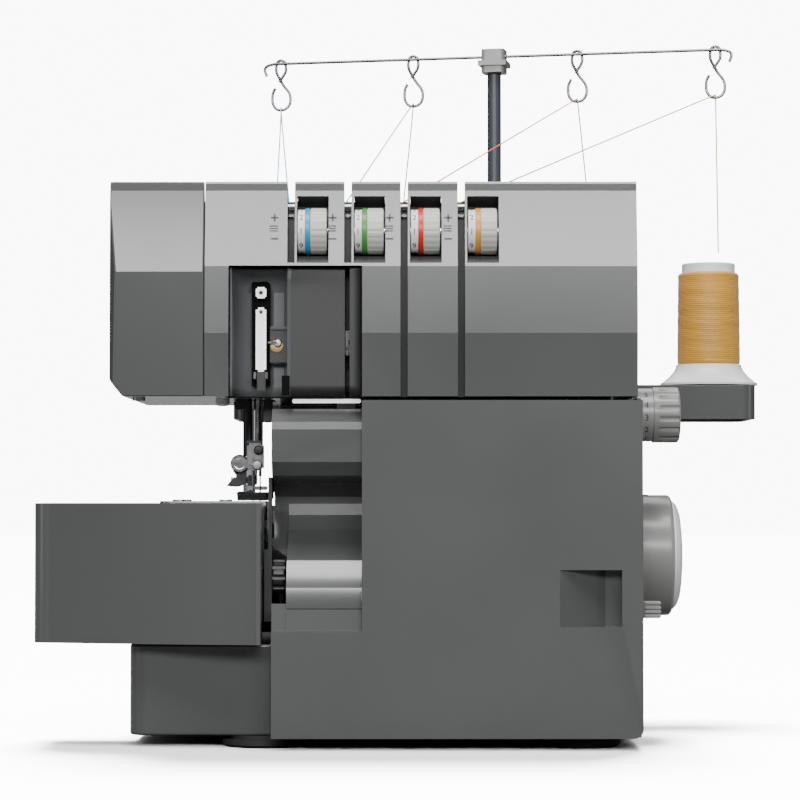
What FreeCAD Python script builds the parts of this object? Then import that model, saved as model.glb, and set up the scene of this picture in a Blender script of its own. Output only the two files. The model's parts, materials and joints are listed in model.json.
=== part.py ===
import FreeCAD, Part
import math
import os

Vec = FreeCAD.Vector

# ---------------------------------------------------------------- driving dimensions (mm)
# The floor is Z = 0, the front plane of the looper cover is Y = 0, +X is the handwheel side.

# overall body
footHeight = 6.0
footRadius = 22.0
footInset = 35.0            # front plane to the front feet's centres
bodyLeft = -143.0
columnLeft = -67.0
bodyRight = 126.4
bodyDepth = 186.0
baseTop = 54.0
coverTop = 182.0
wall = 2.5
seam = 0.4                  # gap between neighbouring shells
runFit = 0.05               # radial clearance of a shaft in its bore

# head
headLeft = -152.0
faceSeam = -102.0
headRight = 124.0
headBottom = 184.0
headTop = 297.0
headDepth = 150.0
headSplit = 75.0            # front and rear head shells meet here
kneeLow = 217.0             # height of the lower crease of the head's front
kneeHigh = 252.0            # height of the upper crease
chinSetback = 2.0
browSetback = 1.5
ridgeSetback = 7.0
ridgeBack = 10.0
ridgeDrop = 10.0            # the shelf behind the front ridge lies this much lower

# thread slots and tension windows, by their left edges
slotLefts = (-58.8, -29.1, 0.3, 30.2)
slotWidth = 3.7
slotDepth = 15.0
windowOffset = 5.0          # slot's left edge to its window's left edge
windowWidth = 16.4
windowBottom = 253.8
windowTop = 289.0

# tension dials
dialRadius = 12.3
dialWidth = 8.8
ringWidth = 2.6
numberWidth = 3.8
dialAxisY = 10.6
dialAxisZ = 270.9
postRadius = 2.0

# dark recess in the head
recessLeft = -89.4
recessRight = -19.8
recessTop = 252.2
recessDepth = 32.0
panelDepth = 8.0

# sewing point
lampX = -95.5
lampY = 53.0
lampRadius = 3.8
needleX = -77.0
needleY = 60.0
presserX = -82.5
presserY = 80.0
needleBarRadius = 3.0
presserBarRadius = 3.5
plateTop = 129.5
plateThickness = 2.5
armLeft = -131.0
armFront = 30.0
armBack = 98.0
armBottom = 96.0

# extension table
tableLeft = -194.0
tableRight = -72.4
tableBottom = 54.6
tableTop = 128.4
tableSweep = 26.0           # how far its left end lies behind its right end
tableBack = 92.0
tableCorner = 9.0
cheekBack = 20.0

# drive
shaftY = 95.0
shaftZ = 99.6
shaftRadius = 5.0
wheelRadius = 33.3
wheelFace = 154.8
wheelGap = 1.1              # side cover to handwheel
pulleyRadius = 26.0
pulleyWidth = 8.0
pulleyLeft = 109.0
motorY = 140.0
motorZ = 48.0
motorRadius = 24.0
motorLength = 54.0
motorLeft = 40.0
motorPulleyRadius = 8.0
beltThickness = 2.0
beltGap = 0.1

# controls on the handwheel side
lengthDialRadius = 15.1
lengthDialY = 60.0
lengthDialZ = 176.0
lengthDialFace = 151.0
leverPivotY = 58.0
leverPivotZ = 72.0
leverReach = 28.0

# looper cover
hingeY = 7.0
hingeZ = 11.0
hingeRadius = 2.0
coverThickness = 3.0
scoopRight = -19.8
scoopBottom = 61.4
scoopTop = 177.8
recessX0 = 83.0
recessX1 = 115.4
recessZ0 = 64.0
recessZ1 = 93.6
gripDepth = 11.0

# thread stand
trayLeft = -98.0
trayRight = 209.0
trayFront = 190.0
trayBack = 264.0
trayBottom = 177.5
trayTop = 197.5
standX = 51.5
pinY = 227.0
pinRadius = 2.5
outerPin = 133.5
innerPin = 58.5
coneRadius = 29.0
coneHeight = 12.5
coreTopRadius = 15.0
spoolRadius = 19.0
spoolHeight = 60.5
capHeight = 6.0
capRadius = 16.0
poleX = 56.6
poleY = 225.0
poleRadius = 4.1
tubeRadius = 6.2
tubeBottom = 170.0
tubeTop = 315.0
poleBottom = 232.0
poleTop = 386.0
barZ = 396.0
wireGuideX = 51.5
barTurn = 12.0              # degrees that the guide bar is turned from the body's width
barHalf = 140.0
outerHook = 132.5
innerHook = 50.0
hookDrop = 29.0
wireRadius = 0.9

threadRadius = 0.4
slotThreadY = 9.5
slotThreadZ = headTop - 11.4


# ---------------------------------------------------------------- helpers
def block(x0, x1, y0, y1, z0, z1):
    return Part.makeBox(x1 - x0, y1 - y0, z1 - z0, Vec(x0, y0, z0))


def rodX(x0, x1, y, z, radius):
    return Part.makeCylinder(radius, x1 - x0, Vec(x0, y, z), Vec(1, 0, 0))


def rodY(x, y0, y1, z, radius):
    return Part.makeCylinder(radius, y1 - y0, Vec(x, y0, z), Vec(0, 1, 0))


def rodZ(x, y, z0, z1, radius):
    return Part.makeCylinder(radius, z1 - z0, Vec(x, y, z0), Vec(0, 0, 1))


def joined(pieces):
    whole = pieces[0].fuse(pieces[1:]) if len(pieces) > 1 else pieces[0]
    return whole.removeSplitter()


def grouped(pieces):
    return Part.makeCompound(pieces)


def outline(points):
    """A closed face from a list of points; a pair (mid, end) makes that edge an arc."""
    edges = []
    here = points[0]
    for item in points[1:] + [points[0]]:
        if isinstance(item, tuple):
            mid, end = item
            edges.append(Part.Arc(here, mid, end).toShape())
            here = end
        else:
            edges.append(Part.LineSegment(here, item).toShape())
            here = item
    return Part.Face(Part.Wire(edges))


def alongX(pairs, x0, x1):
    points = [Vec(x0, y, z) for y, z in pairs]
    return outline(points).extrude(Vec(x1 - x0, 0, 0))


def alongY(pairs, y0, y1):
    points = [Vec(x, y0, z) for x, z in pairs]
    return outline(points).extrude(Vec(0, y1 - y0, 0))


def alongZ(pairs, z0, z1):
    points = [Vec(x, y, z0) for x, y in pairs]
    return outline(points).extrude(Vec(0, 0, z1 - z0))


def turned(profile, centre, axis):
    """A solid of revolution about axis through centre; profile holds (along, radius) pairs."""
    side = Vec(0, 0, 1) if abs(axis.z) < 0.5 else Vec(1, 0, 0)
    points = [centre + axis * along + side * radius for along, radius in profile]
    return outline(points).revolve(centre, axis, 360)


def edgesAlong(shape, direction, test):
    found = []
    for edge in shape.Edges:
        if len(edge.Vertexes) != 2:
            continue
        a, b = edge.Vertexes[0].Point, edge.Vertexes[1].Point
        run = b - a
        if run.Length > 0 and abs(abs(run.normalize().dot(direction)) - 1) < 1e-6:
            if test((a + b) * 0.5):
                found.append(edge)
    return found


# ---------------------------------------------------------------- base and covers
footCentres = [
    (x, y) for x in (columnLeft - 5.0, bodyRight - 31.7) for y in (footInset, bodyDepth - 26.0)
]
panFront = 16.0
panInset = wall + seam


def feet():
    pieces = []
    for x, y in footCentres:
        profile = [(0, 0), (0, footRadius - 1.5), (1.5, footRadius), (footHeight - 2, footRadius),
                   (footHeight - 2, footRadius - 4), (footHeight, footRadius - 4), (footHeight, 0)]
        pieces.append(turned(profile, Vec(x, y, 0), Vec(0, 0, 1)))
    return grouped(pieces)


def hingeBrackets():
    pieces = []
    for x in (columnLeft + 33, bodyRight - 38.4):
        ring = rodX(x, x + 8, hingeY, hingeZ, 3.4)
        stem = block(x, x + 8, hingeY, panFront + 1, hingeZ - 1.6, hingeZ + 1.6)
        bracket = joined([ring, stem]).cut(rodX(x - 1, x + 9, hingeY, hingeZ, hingeRadius + runFit))
        pieces.append(bracket)
    return pieces


def basePan():
    left, right = bodyLeft + panInset, bodyRight - panInset
    front, back = armFront - 3, bodyDepth - panInset
    floor = block(left, right, front, back, footHeight, footHeight + panThickness)
    apron = block(columnLeft + panInset, right, panFront, front, footHeight, footHeight + 3)
    rimTop = footHeight + 9
    rims = [
        block(left, left + 2, front, back, footHeight, rimTop),
        block(right - 2, right, panFront, back, footHeight, rimTop),
        block(left, right, back - 2, back, footHeight, rimTop),
        block(left, columnLeft + panInset, front, front + 2, footHeight, rimTop),
        block(columnLeft + panInset, right, panFront, panFront + 2, footHeight, rimTop),
    ]
    pan = joined([floor, apron] + rims)
    pan = pan.makeFillet(8, edgesAlong(pan, Vec(0, 0, 1), lambda p: p.x < left + 0.5))
    return joined([pan] + hingeBrackets())


def leftBaseCover():
    front = armFront - 6
    right = columnLeft - seam
    back = bodyDepth
    outer = block(bodyLeft, right, front, back, footHeight, baseTop)
    corners = edgesAlong(outer, Vec(0, 0, 1), lambda p: p.x < bodyLeft + 1)
    outer = outer.makeFillet(10, corners)
    inner = block(bodyLeft + wall, right + 1, front + wall, back - wall, footHeight - 1, baseTop - wall)
    inner = inner.makeFillet(10 - wall, edgesAlong(inner, Vec(0, 0, 1), lambda p: p.x < bodyLeft + 5))
    return outer.cut(inner)


def rearCover():
    left = columnLeft
    right = bodyRight - wall - seam
    front = armBack + 10
    top = headBottom - seam
    outer = block(left, right, front, bodyDepth, footHeight, top)
    rearEdge = edgesAlong(outer, Vec(1, 0, 0), lambda p: p.z > top - 1 and p.y > bodyDepth - 1)
    outer = outer.makeFillet(8, rearEdge)
    inner = block(left + wall, right + 1, front - 1, bodyDepth - wall, footHeight - 1, top - wall)
    shell = outer.cut(inner)
    # the roof opens under the head, and the lower left joins the base cover
    shell = shell.cut(block(left + 6, right - 6, front - 1, headDepth - 8, top - wall - 1, top + 1))
    armGap = block(left - 1, left + wall + 1, front - 1, bodyDepth - wall, footHeight - 1, baseTop - wall)
    shell = shell.cut(armGap)
    vents = []
    for index in range(8):
        x = 20 + index * 9
        vents.append(block(x, x + 4, bodyDepth - wall - 1, bodyDepth + 1, 30, 62))
    return shell.cut(grouped(vents))


inletY = 168.0
inletZ = 34.0
switchY = 168.0
switchZ = 70.0
leverSlotHalf = 20.0


def sideCover():
    left, right = bodyRight - wall, bodyRight
    front = 12.0 + seam
    panel = block(left, right, front, bodyDepth, footHeight, headBottom - seam)
    panel = panel.makeFillet(6, edgesAlong(panel, Vec(1, 0, 0), lambda p: p.y > bodyDepth - 1))
    tipY = leverPivotY - leverReach
    holes = [
        rodX(left - 1, right + 1, shaftY, shaftZ, shaftRadius + 1.5),
        rodX(left - 1, right + 1, lengthDialY, lengthDialZ, 4.0 + runFit),
        block(left - 1, right + 1, tipY - 5, tipY + 7.5,
              leverPivotZ - leverSlotHalf, leverPivotZ + leverSlotHalf),
        block(left - 1, right + 1, inletY - 13, inletY + 13, inletZ - 9, inletZ + 9),
        block(left - 1, right + 1, switchY - 7.5, switchY + 7.5, switchZ - 10.5, switchZ + 10.5),
    ]
    pin = rodX(left - 7, left, leverPivotY, leverPivotZ, 2.0)
    return panel.cut(grouped(holes)).fuse(pin)


def inletSocket():
    left, right = bodyRight - 22, bodyRight + 1.2
    flange = block(bodyRight, right, inletY - 15, inletY + 15, inletZ - 11, inletZ + 11)
    body = block(left, bodyRight, inletY - 12.8, inletY + 12.8, inletZ - 8.8, inletZ + 8.8)
    socket = block(left + 4, right + 1, inletY - 10, inletY + 10, inletZ - 6.5, inletZ + 6.5)
    pins = [rodX(left + 3, bodyRight - 6, inletY + dy, inletZ, 1.2) for dy in (-5, 5)]
    return joined([flange, body]).cut(socket).fuse(pins).removeSplitter()


def switchFrame():
    left, right = bodyRight - 16, bodyRight + 1.2
    flange = block(bodyRight, right, switchY - 9.5, switchY + 9.5, switchZ - 12.5, switchZ + 12.5)
    body = block(left, bodyRight, switchY - 7.3, switchY + 7.3, switchZ - 10.3, switchZ + 10.3)
    hollow = block(left + 3, right + 1, switchY - 6, switchY + 6, switchZ - 9, switchZ + 9)
    return joined([flange, body]).cut(hollow)


def powerInlet():
    return grouped([inletSocket(), switchFrame()])


def switchRocker():
    # a shallow V-shaped paddle that tips about Y
    pivotX = bodyRight - 3
    pairs = [(pivotX + 3.6, switchZ), (pivotX + 5.6, switchZ - 8), (pivotX - 2, switchZ - 7.4),
             (pivotX - 2, switchZ + 7.4), (pivotX + 5.6, switchZ + 8)]
    return alongY(pairs, switchY - 5.7, switchY + 5.7)


# ---------------------------------------------------------------- looper cover
def scoopProfile(inset):
    """The chute's section in Y and Z, from its top lip down to its bottom edge."""
    i = inset
    return [
        (14 + i, scoopTop - i), (5 + i, scoopTop - 7 - i), (3 + i, scoopTop - 11),
        (3 + i, scoopTop - 28), (10 + i, scoopTop - 35 + i), (34 + i, scoopTop - 39 + i),
        (42 + i, scoopTop - 46), (42 + i, scoopTop - 54), (36 + i, scoopTop - 68), (24 + i, scoopTop - 79),
        (10 + i, scoopTop - 92), (5 + i, scoopTop - 100), (4 + i, scoopBottom + i),
    ]


def frontCover():
    top = coverTop
    face = block(columnLeft, bodyRight, 0, coverThickness, footHeight + 0.2, top)
    corner = edgesAlong(face, Vec(0, 1, 0), lambda p: p.x > bodyRight - 1 and p.z < 20)
    face = face.makeFillet(5, corner)
    returns = [
        block(bodyRight - wall, bodyRight, coverThickness, 12, hingeZ + 3, top),
        block(scoopRight, bodyRight, coverThickness, 12, top - wall, top),
        block(recessX0 - 3, recessX1 + 2, coverThickness, gripDepth + 2.5, recessZ0 - 2, recessZ1 + 2),
    ]
    lugs = []
    for x in (columnLeft + 17, bodyRight - 26.4):
        lug = block(x, x + 8, coverThickness, hingeY, hingeZ - 3.2, hingeZ + 3.2)
        lugs += [lug, rodX(x, x + 8, hingeY, hingeZ, 3.2)]
    body = joined([face] + returns + lugs)
    ramp = [(recessX0, -1), (recessX0, 0.01), (recessX1 - 8, gripDepth),
            (recessX1, gripDepth), (recessX1, -1)]
    grip = alongZ(ramp, recessZ0, recessZ1)
    mouth = block(columnLeft - 1, scoopRight, -1, coverThickness + 1, scoopBottom, top + 1)
    bore = rodX(columnLeft, bodyRight - wall - 1, hingeY, hingeZ, hingeRadius + runFit)
    body = body.cut(grouped([grip, mouth])).fuse(chuteWall())
    sill = block(columnLeft, scoopRight, 1, 4 + wall, scoopBottom - wall, scoopBottom + 0.6)
    return joined([body, scoopPanel(), sill]).cut(bore)


knobY = 26.0
knobZ = 89.5
knobRadius = 9.0


def scoopPanel():
    skin = alongX(scoopProfile(0) + list(reversed(scoopProfile(wall))), columnLeft, scoopRight)
    notch = block(columnLeft - 1, columnLeft + 8.5, -1, 60, knobZ - 13.5, knobZ + 14.5)
    return skin.cut(notch)


def chuteWall():
    """Closes the right end of the chute against the cover's face."""
    back = [(y, z) for y, z in scoopProfile(wall)]
    return alongX([(0, scoopBottom)] + [(0, coverTop)] + [(14 + wall, coverTop)] + back[1:],
                  scoopRight, scoopRight + wall)


def coverHingeRod():
    return rodX(columnLeft + 8, bodyRight - 12, hingeY, hingeZ, hingeRadius)


# ---------------------------------------------------------------- head
def headProfile(front, back, inset):
    """Section of the head in Y and Z between two depths; front 0 gives the creased face."""
    i = inset
    shelf = headTop - ridgeDrop
    if front == 0:
        pairs = [(chinSetback + i, headBottom + i), (i, kneeLow), (browSetback + i, kneeHigh),
                 (ridgeSetback + i, headTop - 5)]
        if i == 0:
            pairs += [(ridgeSetback + 0.8, headTop - 1.2), (ridgeSetback + 1.6, headTop),
                      (ridgeBack, headTop), (ridgeBack + 1.5, shelf)]
        else:
            pairs = pairs[:3] + [(ridgeSetback + i - 1, shelf - i)]
        return pairs + [(back, shelf - i), (back, headBottom + i)]
    tail = 14.0
    return [(front, headBottom + i), (front, shelf - i), (back - tail - i, shelf - i),
            (back - i, shelf - tail - i), (back - i, headBottom + i)]


def slotCuts():
    cuts = []
    for index, left in enumerate(slotLefts):
        low = headBottom - 1 if index > 1 else windowBottom
        cuts.append(block(left, left + slotWidth, -1, slotDepth, low, headTop + 1))
    return cuts


def slotWalls():
    walls = []
    for index, left in enumerate(slotLefts):
        low = headBottom if index > 1 else recessTop + 0.1
        walls.append(block(left - 1.5, left + slotWidth + 1.5, 4, slotDepth + 1.5, low, headTop - ridgeDrop))
    return walls


def windowLeft(index):
    return slotLefts[index] + windowOffset


def windowCuts():
    cuts = []
    for index in range(len(slotLefts)):
        left = windowLeft(index)
        back = dialAxisY + dialRadius + 1.5
        cuts.append(block(left, left + windowWidth, -1, back, windowBottom, windowTop))
    return cuts


def windowWalls():
    walls = []
    back = dialAxisY + dialRadius + 3
    for index in range(len(slotLefts)):
        left = windowLeft(index)
        tall = min(windowTop + 1.5, headTop - ridgeDrop)
        walls.append(block(left - 1.3, left + windowWidth + 1.5, 4, back, windowBottom - 1.5, tall))
    return walls


barWell = (presserX - 7.5, needleX + 9.0, needleY - 10.0, presserY + 10.0)


def columnWell():
    return block(leftUpright - 4, headRight - 10, barWell[2], headDepth - 8,
                 headBottom - 1, headBottom + wall + 1)


def headCover():
    left, right = faceSeam, headRight
    outer = alongX(headProfile(0, headSplit, 0), left, right)
    inner = alongX(headProfile(0, headSplit + 1, wall), left - 1, right - wall)
    shell = outer.cut(inner)
    walls = joined(slotWalls() + windowWalls()).common(outer)
    shell = shell.fuse(walls)
    pocketBack = chinSetback + wall + 0.2
    pocket = block(recessLeft, recessRight, -1, pocketBack, headBottom - 1, recessTop)
    x0, x1, y0, y1 = barWell
    well = block(x0, x1, y0, y1, headBottom - 1, headBottom + wall + 1)
    floorCut = block(recessLeft - 2.2, recessRight + 2.2, wall + 2, recessDepth,
                     headBottom - 1, headBottom + wall + 1)
    lampHole = rodZ(lampX, lampY, headBottom - 1, headBottom + wall + 1, lampRadius)
    shell = shell.cut([pocket, floorCut, well, lampHole, columnWell()] + slotCuts() + windowCuts())
    bores = []
    for index in range(len(slotLefts)):
        left = windowLeft(index)
        bores.append(rodX(left - 2, left + windowWidth + 2, dialAxisY, dialAxisZ, postRadius))
    for bore in bores:
        shell = shell.cut(bore)
    return shell


def headRearCover():
    left, right = faceSeam, headRight
    start = headSplit + seam
    outer = alongX(headProfile(start, headDepth, 0), left, right)
    inner = alongX(headProfile(start - 1, headDepth, wall), left - 1, right - wall)
    x0, x1, y0, y1 = barWell
    well = block(x0, x1, y0, y1, headBottom - 1, headBottom + wall + 1)
    pivot = rodY(lifterX, headDepth - wall - 1, headDepth + 1, lifterZ, lifterRadius + runFit)
    return outer.cut(inner).cut([well, columnWell(), pivot])


def faceCover():
    right = faceSeam - seam
    low = headBottom
    shelf = headTop - ridgeDrop
    pairs = [(chinSetback, low), (0, kneeHigh - 3), (ridgeSetback, headTop - 5),
             (ridgeSetback + 1.6, headTop), (ridgeBack, headTop), (ridgeBack + 1.5, shelf),
             (headDepth - 14, shelf), (headDepth, shelf - 14),
             (headDepth, low)]
    outer = alongX(pairs, headLeft, right)
    corner = [(headLeft - 1, low - 1), (headLeft + 8, low - 1), (headLeft - 1, low + 10)]
    trim = alongY(corner, -5, headDepth + 5)
    inner = alongX([(chinSetback + wall, low + wall), (wall, kneeHigh - 3), (ridgeSetback + 2, shelf - wall),
                    (headDepth - 14 - wall, shelf - wall), (headDepth - wall, shelf - 14 - wall),
                    (headDepth - wall, low + wall)], headLeft + wall + 3, right + 1)
    lipFront = block(headLeft - 1, headLeft + 4, -5, 6, low - 1, headTop + 1)
    nose = [(headLeft - 1, -3), (headLeft + 5, -3), (headLeft, 6), (headLeft - 1, 6)]
    rounded = alongZ(nose, low - 1, headTop + 1)
    return outer.cut(trim).cut(rounded.common(lipFront)).cut(inner)


def recessPanel():
    left, right = recessLeft - 2, recessRight + 2
    low, high = headBottom + 0.5, recessTop
    start = chinSetback + wall + 0.3
    panelLeft, panelRight = -56.0, -30.0
    channel = -25.6
    back = recessDepth
    pieces = [
        block(left, recessLeft, start, back, low, high),
        block(left, panelLeft - 1.5, back - 2, back, low, high),
        block(panelLeft - 1.5, panelLeft, panelDepth, back, low, high),
        block(panelLeft - 1.5, panelRight, panelDepth, panelDepth + 2, low, high),
        block(panelRight - 1.5, panelRight, panelDepth, 24, low, high),
        block(panelRight - 1.5, channel + 1.5, 22, 24, low, high),
        block(channel, channel + 1.5, start, 24, low, high),
        block(channel, right, start, start + 2, low, high),
        block(left, panelLeft, start, back, high - 2, high),
        block(panelRight - 1.5, channel + 1.5, start, 24, high - 2, high),
    ]
    return joined(pieces)


def threadGuides():
    x0, x1 = -76.2, -70.3
    bar = block(x0, x1, 18, 20, 196.5, 232.5)
    tag = block(x0, x1, 18, 20, 237.5, 243)
    legs = [block(x0 + 2, x1 - 2, 20, recessDepth - 2, z, z + 4) for z in (198, 226, 238)]
    return grouped([joined([bar] + legs[:2]), joined([tag, legs[2]]), checkBox()])


checkBoxSpan = (-69.0, -57.6)
checkBoxLow = 202.0
checkBoxHigh = 222.0


def checkBox():
    x0, x1 = checkBoxSpan
    box = block(x0, x1, 20, recessDepth - 2, checkBoxLow, checkBoxHigh)
    return box.cut(block(x0 + 1.5, x1 - 1.5, 19, 27, checkBoxLow + 2, checkBoxHigh - 3))


def checkScrew():
    x, z = sum(checkBoxSpan) / 2 - 1, (checkBoxLow + checkBoxHigh) / 2
    screw = rodY(x, 22, 27, z, 2.6)
    return screw.cut(block(x - 2.2, x + 2.2, 21.5, 22.8, z - 0.4, z + 0.4))


def channelGuides():
    x0, x1 = -29.6, -26.4
    return [block(x0, x1, 16, 22, z, z + 5.5) for z in (213.5, 206.5)]


def slotGuides():
    pieces = []
    for left in slotLefts:
        middle = left + slotWidth / 2
        eye = rodX(left, left + slotWidth, 9.5, headTop - 13, 1.1)
        post = block(middle - 0.8, middle + 0.8, 9.5, slotDepth, headTop - 13.6, headTop - 12.4)
        pieces.append(joined([eye, post]))
    return pieces


def topWireGuide():
    shelf = headTop - ridgeDrop
    high = headTop + 2.4
    post = rodZ(wireGuideX, 40, shelf, high, wireRadius)
    bar = rodX(wireGuideX - 7, wireGuideX + wireRadius, 40, high - wireRadius, wireRadius)
    foot = rodZ(wireGuideX, 40, shelf, shelf + 1.5, 3.0)
    return joined([post, bar, foot])


def tensionPost(index):
    left = windowLeft(index)
    return rodX(left - 1.3, left + windowWidth + 1.5, dialAxisY, dialAxisZ, postRadius)


def wireGuides():
    posts = [tensionPost(index) for index in range(len(slotLefts))]
    return grouped(slotGuides() + channelGuides() + [topWireGuide(), checkScrew()] + posts)


# ---------------------------------------------------------------- tension dials
def tensionDial(index):
    """A number band and a colour band, then the ribbed grip, on one post."""
    start = windowLeft(index) + 0.4
    gripStart = start + numberWidth + ringWidth
    end = gripStart + dialWidth
    bands = rodX(start, gripStart, dialAxisY, dialAxisZ, dialRadius - 0.4)
    grip = rodX(gripStart, end, dialAxisY, dialAxisZ, dialRadius)
    cuts = []
    count = 18
    for step in range(count):
        angle = 2 * math.pi * step / count
        y = dialAxisY + dialRadius * math.cos(angle)
        z = dialAxisZ + dialRadius * math.sin(angle)
        cuts.append(rodX(gripStart + 1, end + 1, y, z, 0.7))
    bore = rodX(start - 1, end + 1, dialAxisY, dialAxisZ, postRadius + runFit)
    return joined([bands, grip]).cut(grouped(cuts)).cut(bore)


# ---------------------------------------------------------------- frame and drive
frameLeft = -98.0
frameRight = 106.0
beamBottom = 197.0
beamThickness = 9.0
guideTop = 226.0
uprightWidth = 10.0
leftUpright = -34.0
bedBeamBack = 97.0
lowerLooperX = -54.0
lowerLooperZ = 100.0
upperLooperX = -46.0
upperLooperZ = 112.0
looperShaftRadius = 3.0
bushOuter = 8.0
panThickness = 3.0
frameSole = 7.0
frameSeat = footHeight + panThickness
frameFloor = frameSeat + frameSole


def frameCasting():
    beamTop = beamBottom + beamThickness
    frameFront, frameBack = needleY - 8, 112.0
    pieces = [block(frameLeft, frameRight, frameFront, frameBack, beamBottom, beamTop)]
    pieces.append(block(frameLeft + 6, needleX + 9, frameFront, presserY + 8, beamTop, guideTop))
    for x in (leftUpright, frameRight - uprightWidth):
        pieces.append(block(x, x + uprightWidth, frameFront, frameBack + 20, frameSeat, beamTop))
    pieces.append(block(leftUpright, frameRight, frameFront, frameBack + 20, frameSeat, frameFloor))
    bedBeam = block(armLeft + 5, leftUpright + 1, bedBeamBack - 9, bedBeamBack,
                    armBottom - 4, plateTop - plateThickness)
    pieces.append(bedBeam)
    body = joined(pieces)
    cuts = [
        rodZ(needleX, needleY, beamBottom - 1, guideTop + 1, needleBarRadius + runFit),
        rodZ(presserX, presserY, beamBottom - 1, springBottom + 1, presserBarRadius + runFit),
        rodX(leftUpright - 1, leftUpright + uprightWidth + 1, shaftY, shaftZ, bushOuter),
        rodX(frameRight - uprightWidth - 1, frameRight + 1, shaftY, shaftZ, bushOuter),
        rodY(lowerLooperX, bedBeamBack - 10, bedBeamBack + 1, lowerLooperZ, looperShaftRadius + runFit),
        rodY(upperLooperX, bedBeamBack - 10, bedBeamBack + 1, upperLooperZ, looperShaftRadius + runFit),
    ]
    seat = rodZ(presserX, presserY, guideTop, springBottom, 7.0)
    return body.fuse(seat).cut(cuts)


def shaftBushes():
    pieces = []
    for x in (leftUpright, frameRight - uprightWidth):
        sleeve = rodX(x, x + uprightWidth, shaftY, shaftZ, bushOuter)
        pieces.append(sleeve.cut(rodX(x - 1, x + uprightWidth + 1, shaftY, shaftZ, shaftRadius + runFit)))
    return grouped(pieces)


def mainShaft():
    """The shaft and its three offset cams, which drive the needle bar and both loopers."""
    pieces = [rodX(leftUpright + 1.5, bodyRight + wheelGap + 14, shaftY, shaftZ, shaftRadius)]
    offset = 4.0
    for x, angle in ((0.0, 0.0), (16.0, 120.0), (32.0, 240.0)):
        y = shaftY + offset * math.cos(math.radians(angle))
        z = shaftZ + offset * math.sin(math.radians(angle))
        pieces.append(rodX(x, x + 8, y, z, 12.0))
    return joined(pieces)


def shaftPulley():
    left = pulleyLeft
    profile = [(0, shaftRadius), (0, pulleyRadius + 2), (1, pulleyRadius + 2), (1, pulleyRadius),
               (pulleyWidth - 1, pulleyRadius), (pulleyWidth - 1, pulleyRadius + 2),
               (pulleyWidth, pulleyRadius + 2), (pulleyWidth, shaftRadius)]
    return turned(profile, Vec(left, shaftY, shaftZ), Vec(1, 0, 0))


def handwheel():
    start = bodyRight + wheelGap
    depth = wheelFace - start
    rim = wheelRadius
    profile = [(0, shaftRadius), (0, 12), (3, 14), (3, rim - 6), (0, rim - 4), (0, rim - 1.5), (1.5, rim),
               (depth - 12, rim), (depth - 6.5, rim - 1.6), (depth - 2.2, rim - 8), (depth, 14), (depth, 0),
               (14, 0), (14, shaftRadius)]
    wheel = turned(profile, Vec(start, shaftY, shaftZ), Vec(1, 0, 0))
    cuts = []
    count = 40
    for step in range(count):
        angle = 2 * math.pi * step / count
        y = shaftY + rim * math.cos(angle)
        z = shaftZ + rim * math.sin(angle)
        cuts.append(rodX(start + 3, start + 9, y, z, 1.0))
    return wheel.cut(grouped(cuts))


def motorBarrel():
    barrel = rodX(motorLeft, motorLeft + motorLength, motorY, motorZ, motorRadius)
    ends = [rodX(motorLeft - 6, motorLeft, motorY, motorZ, 12.0)]
    shaftHole = rodX(motorLeft + motorLength - 12, motorLeft + motorLength + 1, motorY, motorZ, 3.0 + runFit)
    return joined([barrel] + ends).cut(shaftHole)


def motorBody():
    x0 = motorLeft + 8
    base = motorZ - motorRadius
    saddle = block(x0, x0 + 34, motorY - 11, motorY + 11, frameFloor, base + 4)
    return grouped([motorBarrel(), saddle.cut(rodX(x0 - 1, x0 + 35, motorY, motorZ, motorRadius))])


def motorShaft():
    x0 = motorLeft + motorLength - 11
    return rodX(x0, pulleyLeft + pulleyWidth, motorY, motorZ, 3.0)


def pulleyWheel():
    left = pulleyLeft
    profile = [(0, 3.0), (0, motorPulleyRadius + 2), (1, motorPulleyRadius + 2), (1, motorPulleyRadius),
               (pulleyWidth - 1, motorPulleyRadius), (pulleyWidth - 1, motorPulleyRadius + 2),
               (pulleyWidth, motorPulleyRadius + 2), (pulleyWidth, 3.0)]
    return turned(profile, Vec(left, motorY, motorZ), Vec(1, 0, 0))


def motorPulley():
    return grouped([motorShaft(), pulleyWheel()])


def beltLoop(extra):
    """The area inside an open belt round both pulleys, grown by extra, as a face in Y and Z."""
    x = pulleyLeft + 1.3
    big, small = pulleyRadius + extra, motorPulleyRadius + extra
    dy, dz = motorY - shaftY, motorZ - shaftZ
    gap = math.hypot(dy, dz)
    heading = math.atan2(dz, dy)
    lean = math.acos((big - small) / gap)

    def at(cy, cz, radius, angle):
        return Vec(x, cy + radius * math.cos(angle), cz + radius * math.sin(angle))

    a, b = heading + lean, heading - lean
    return outline([
        at(shaftY, shaftZ, big, a),
        (at(shaftY, shaftZ, big, heading + math.pi), at(shaftY, shaftZ, big, b)),
        at(motorY, motorZ, small, b),
        (at(motorY, motorZ, small, heading), at(motorY, motorZ, small, a)),
    ])


def driveBelt():
    width = Vec(pulleyWidth - 2.6, 0, 0)
    outer = beltLoop(beltGap + beltThickness).extrude(width)
    return outer.cut(beltLoop(beltGap).extrude(width))


# ---------------------------------------------------------------- controls on the handwheel side
def lengthDial():
    start = bodyRight + 0.6
    depth = lengthDialFace - start
    rim = lengthDialRadius
    profile = [(-9, 0), (-9, 4.0), (0, 4.0), (0, rim - 1), (1, rim),
               (depth - 2, rim), (depth, rim - 2), (depth, 0)]
    dial = turned(profile, Vec(start, lengthDialY, lengthDialZ), Vec(1, 0, 0))
    cuts = []
    count = 24
    for step in range(count):
        angle = 2 * math.pi * step / count
        y = lengthDialY + rim * math.cos(angle)
        z = lengthDialZ + rim * math.sin(angle)
        cuts.append(rodX(start + 9, start + depth + 1, y, z, 0.8))
    return dial.cut(grouped(cuts))


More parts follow.
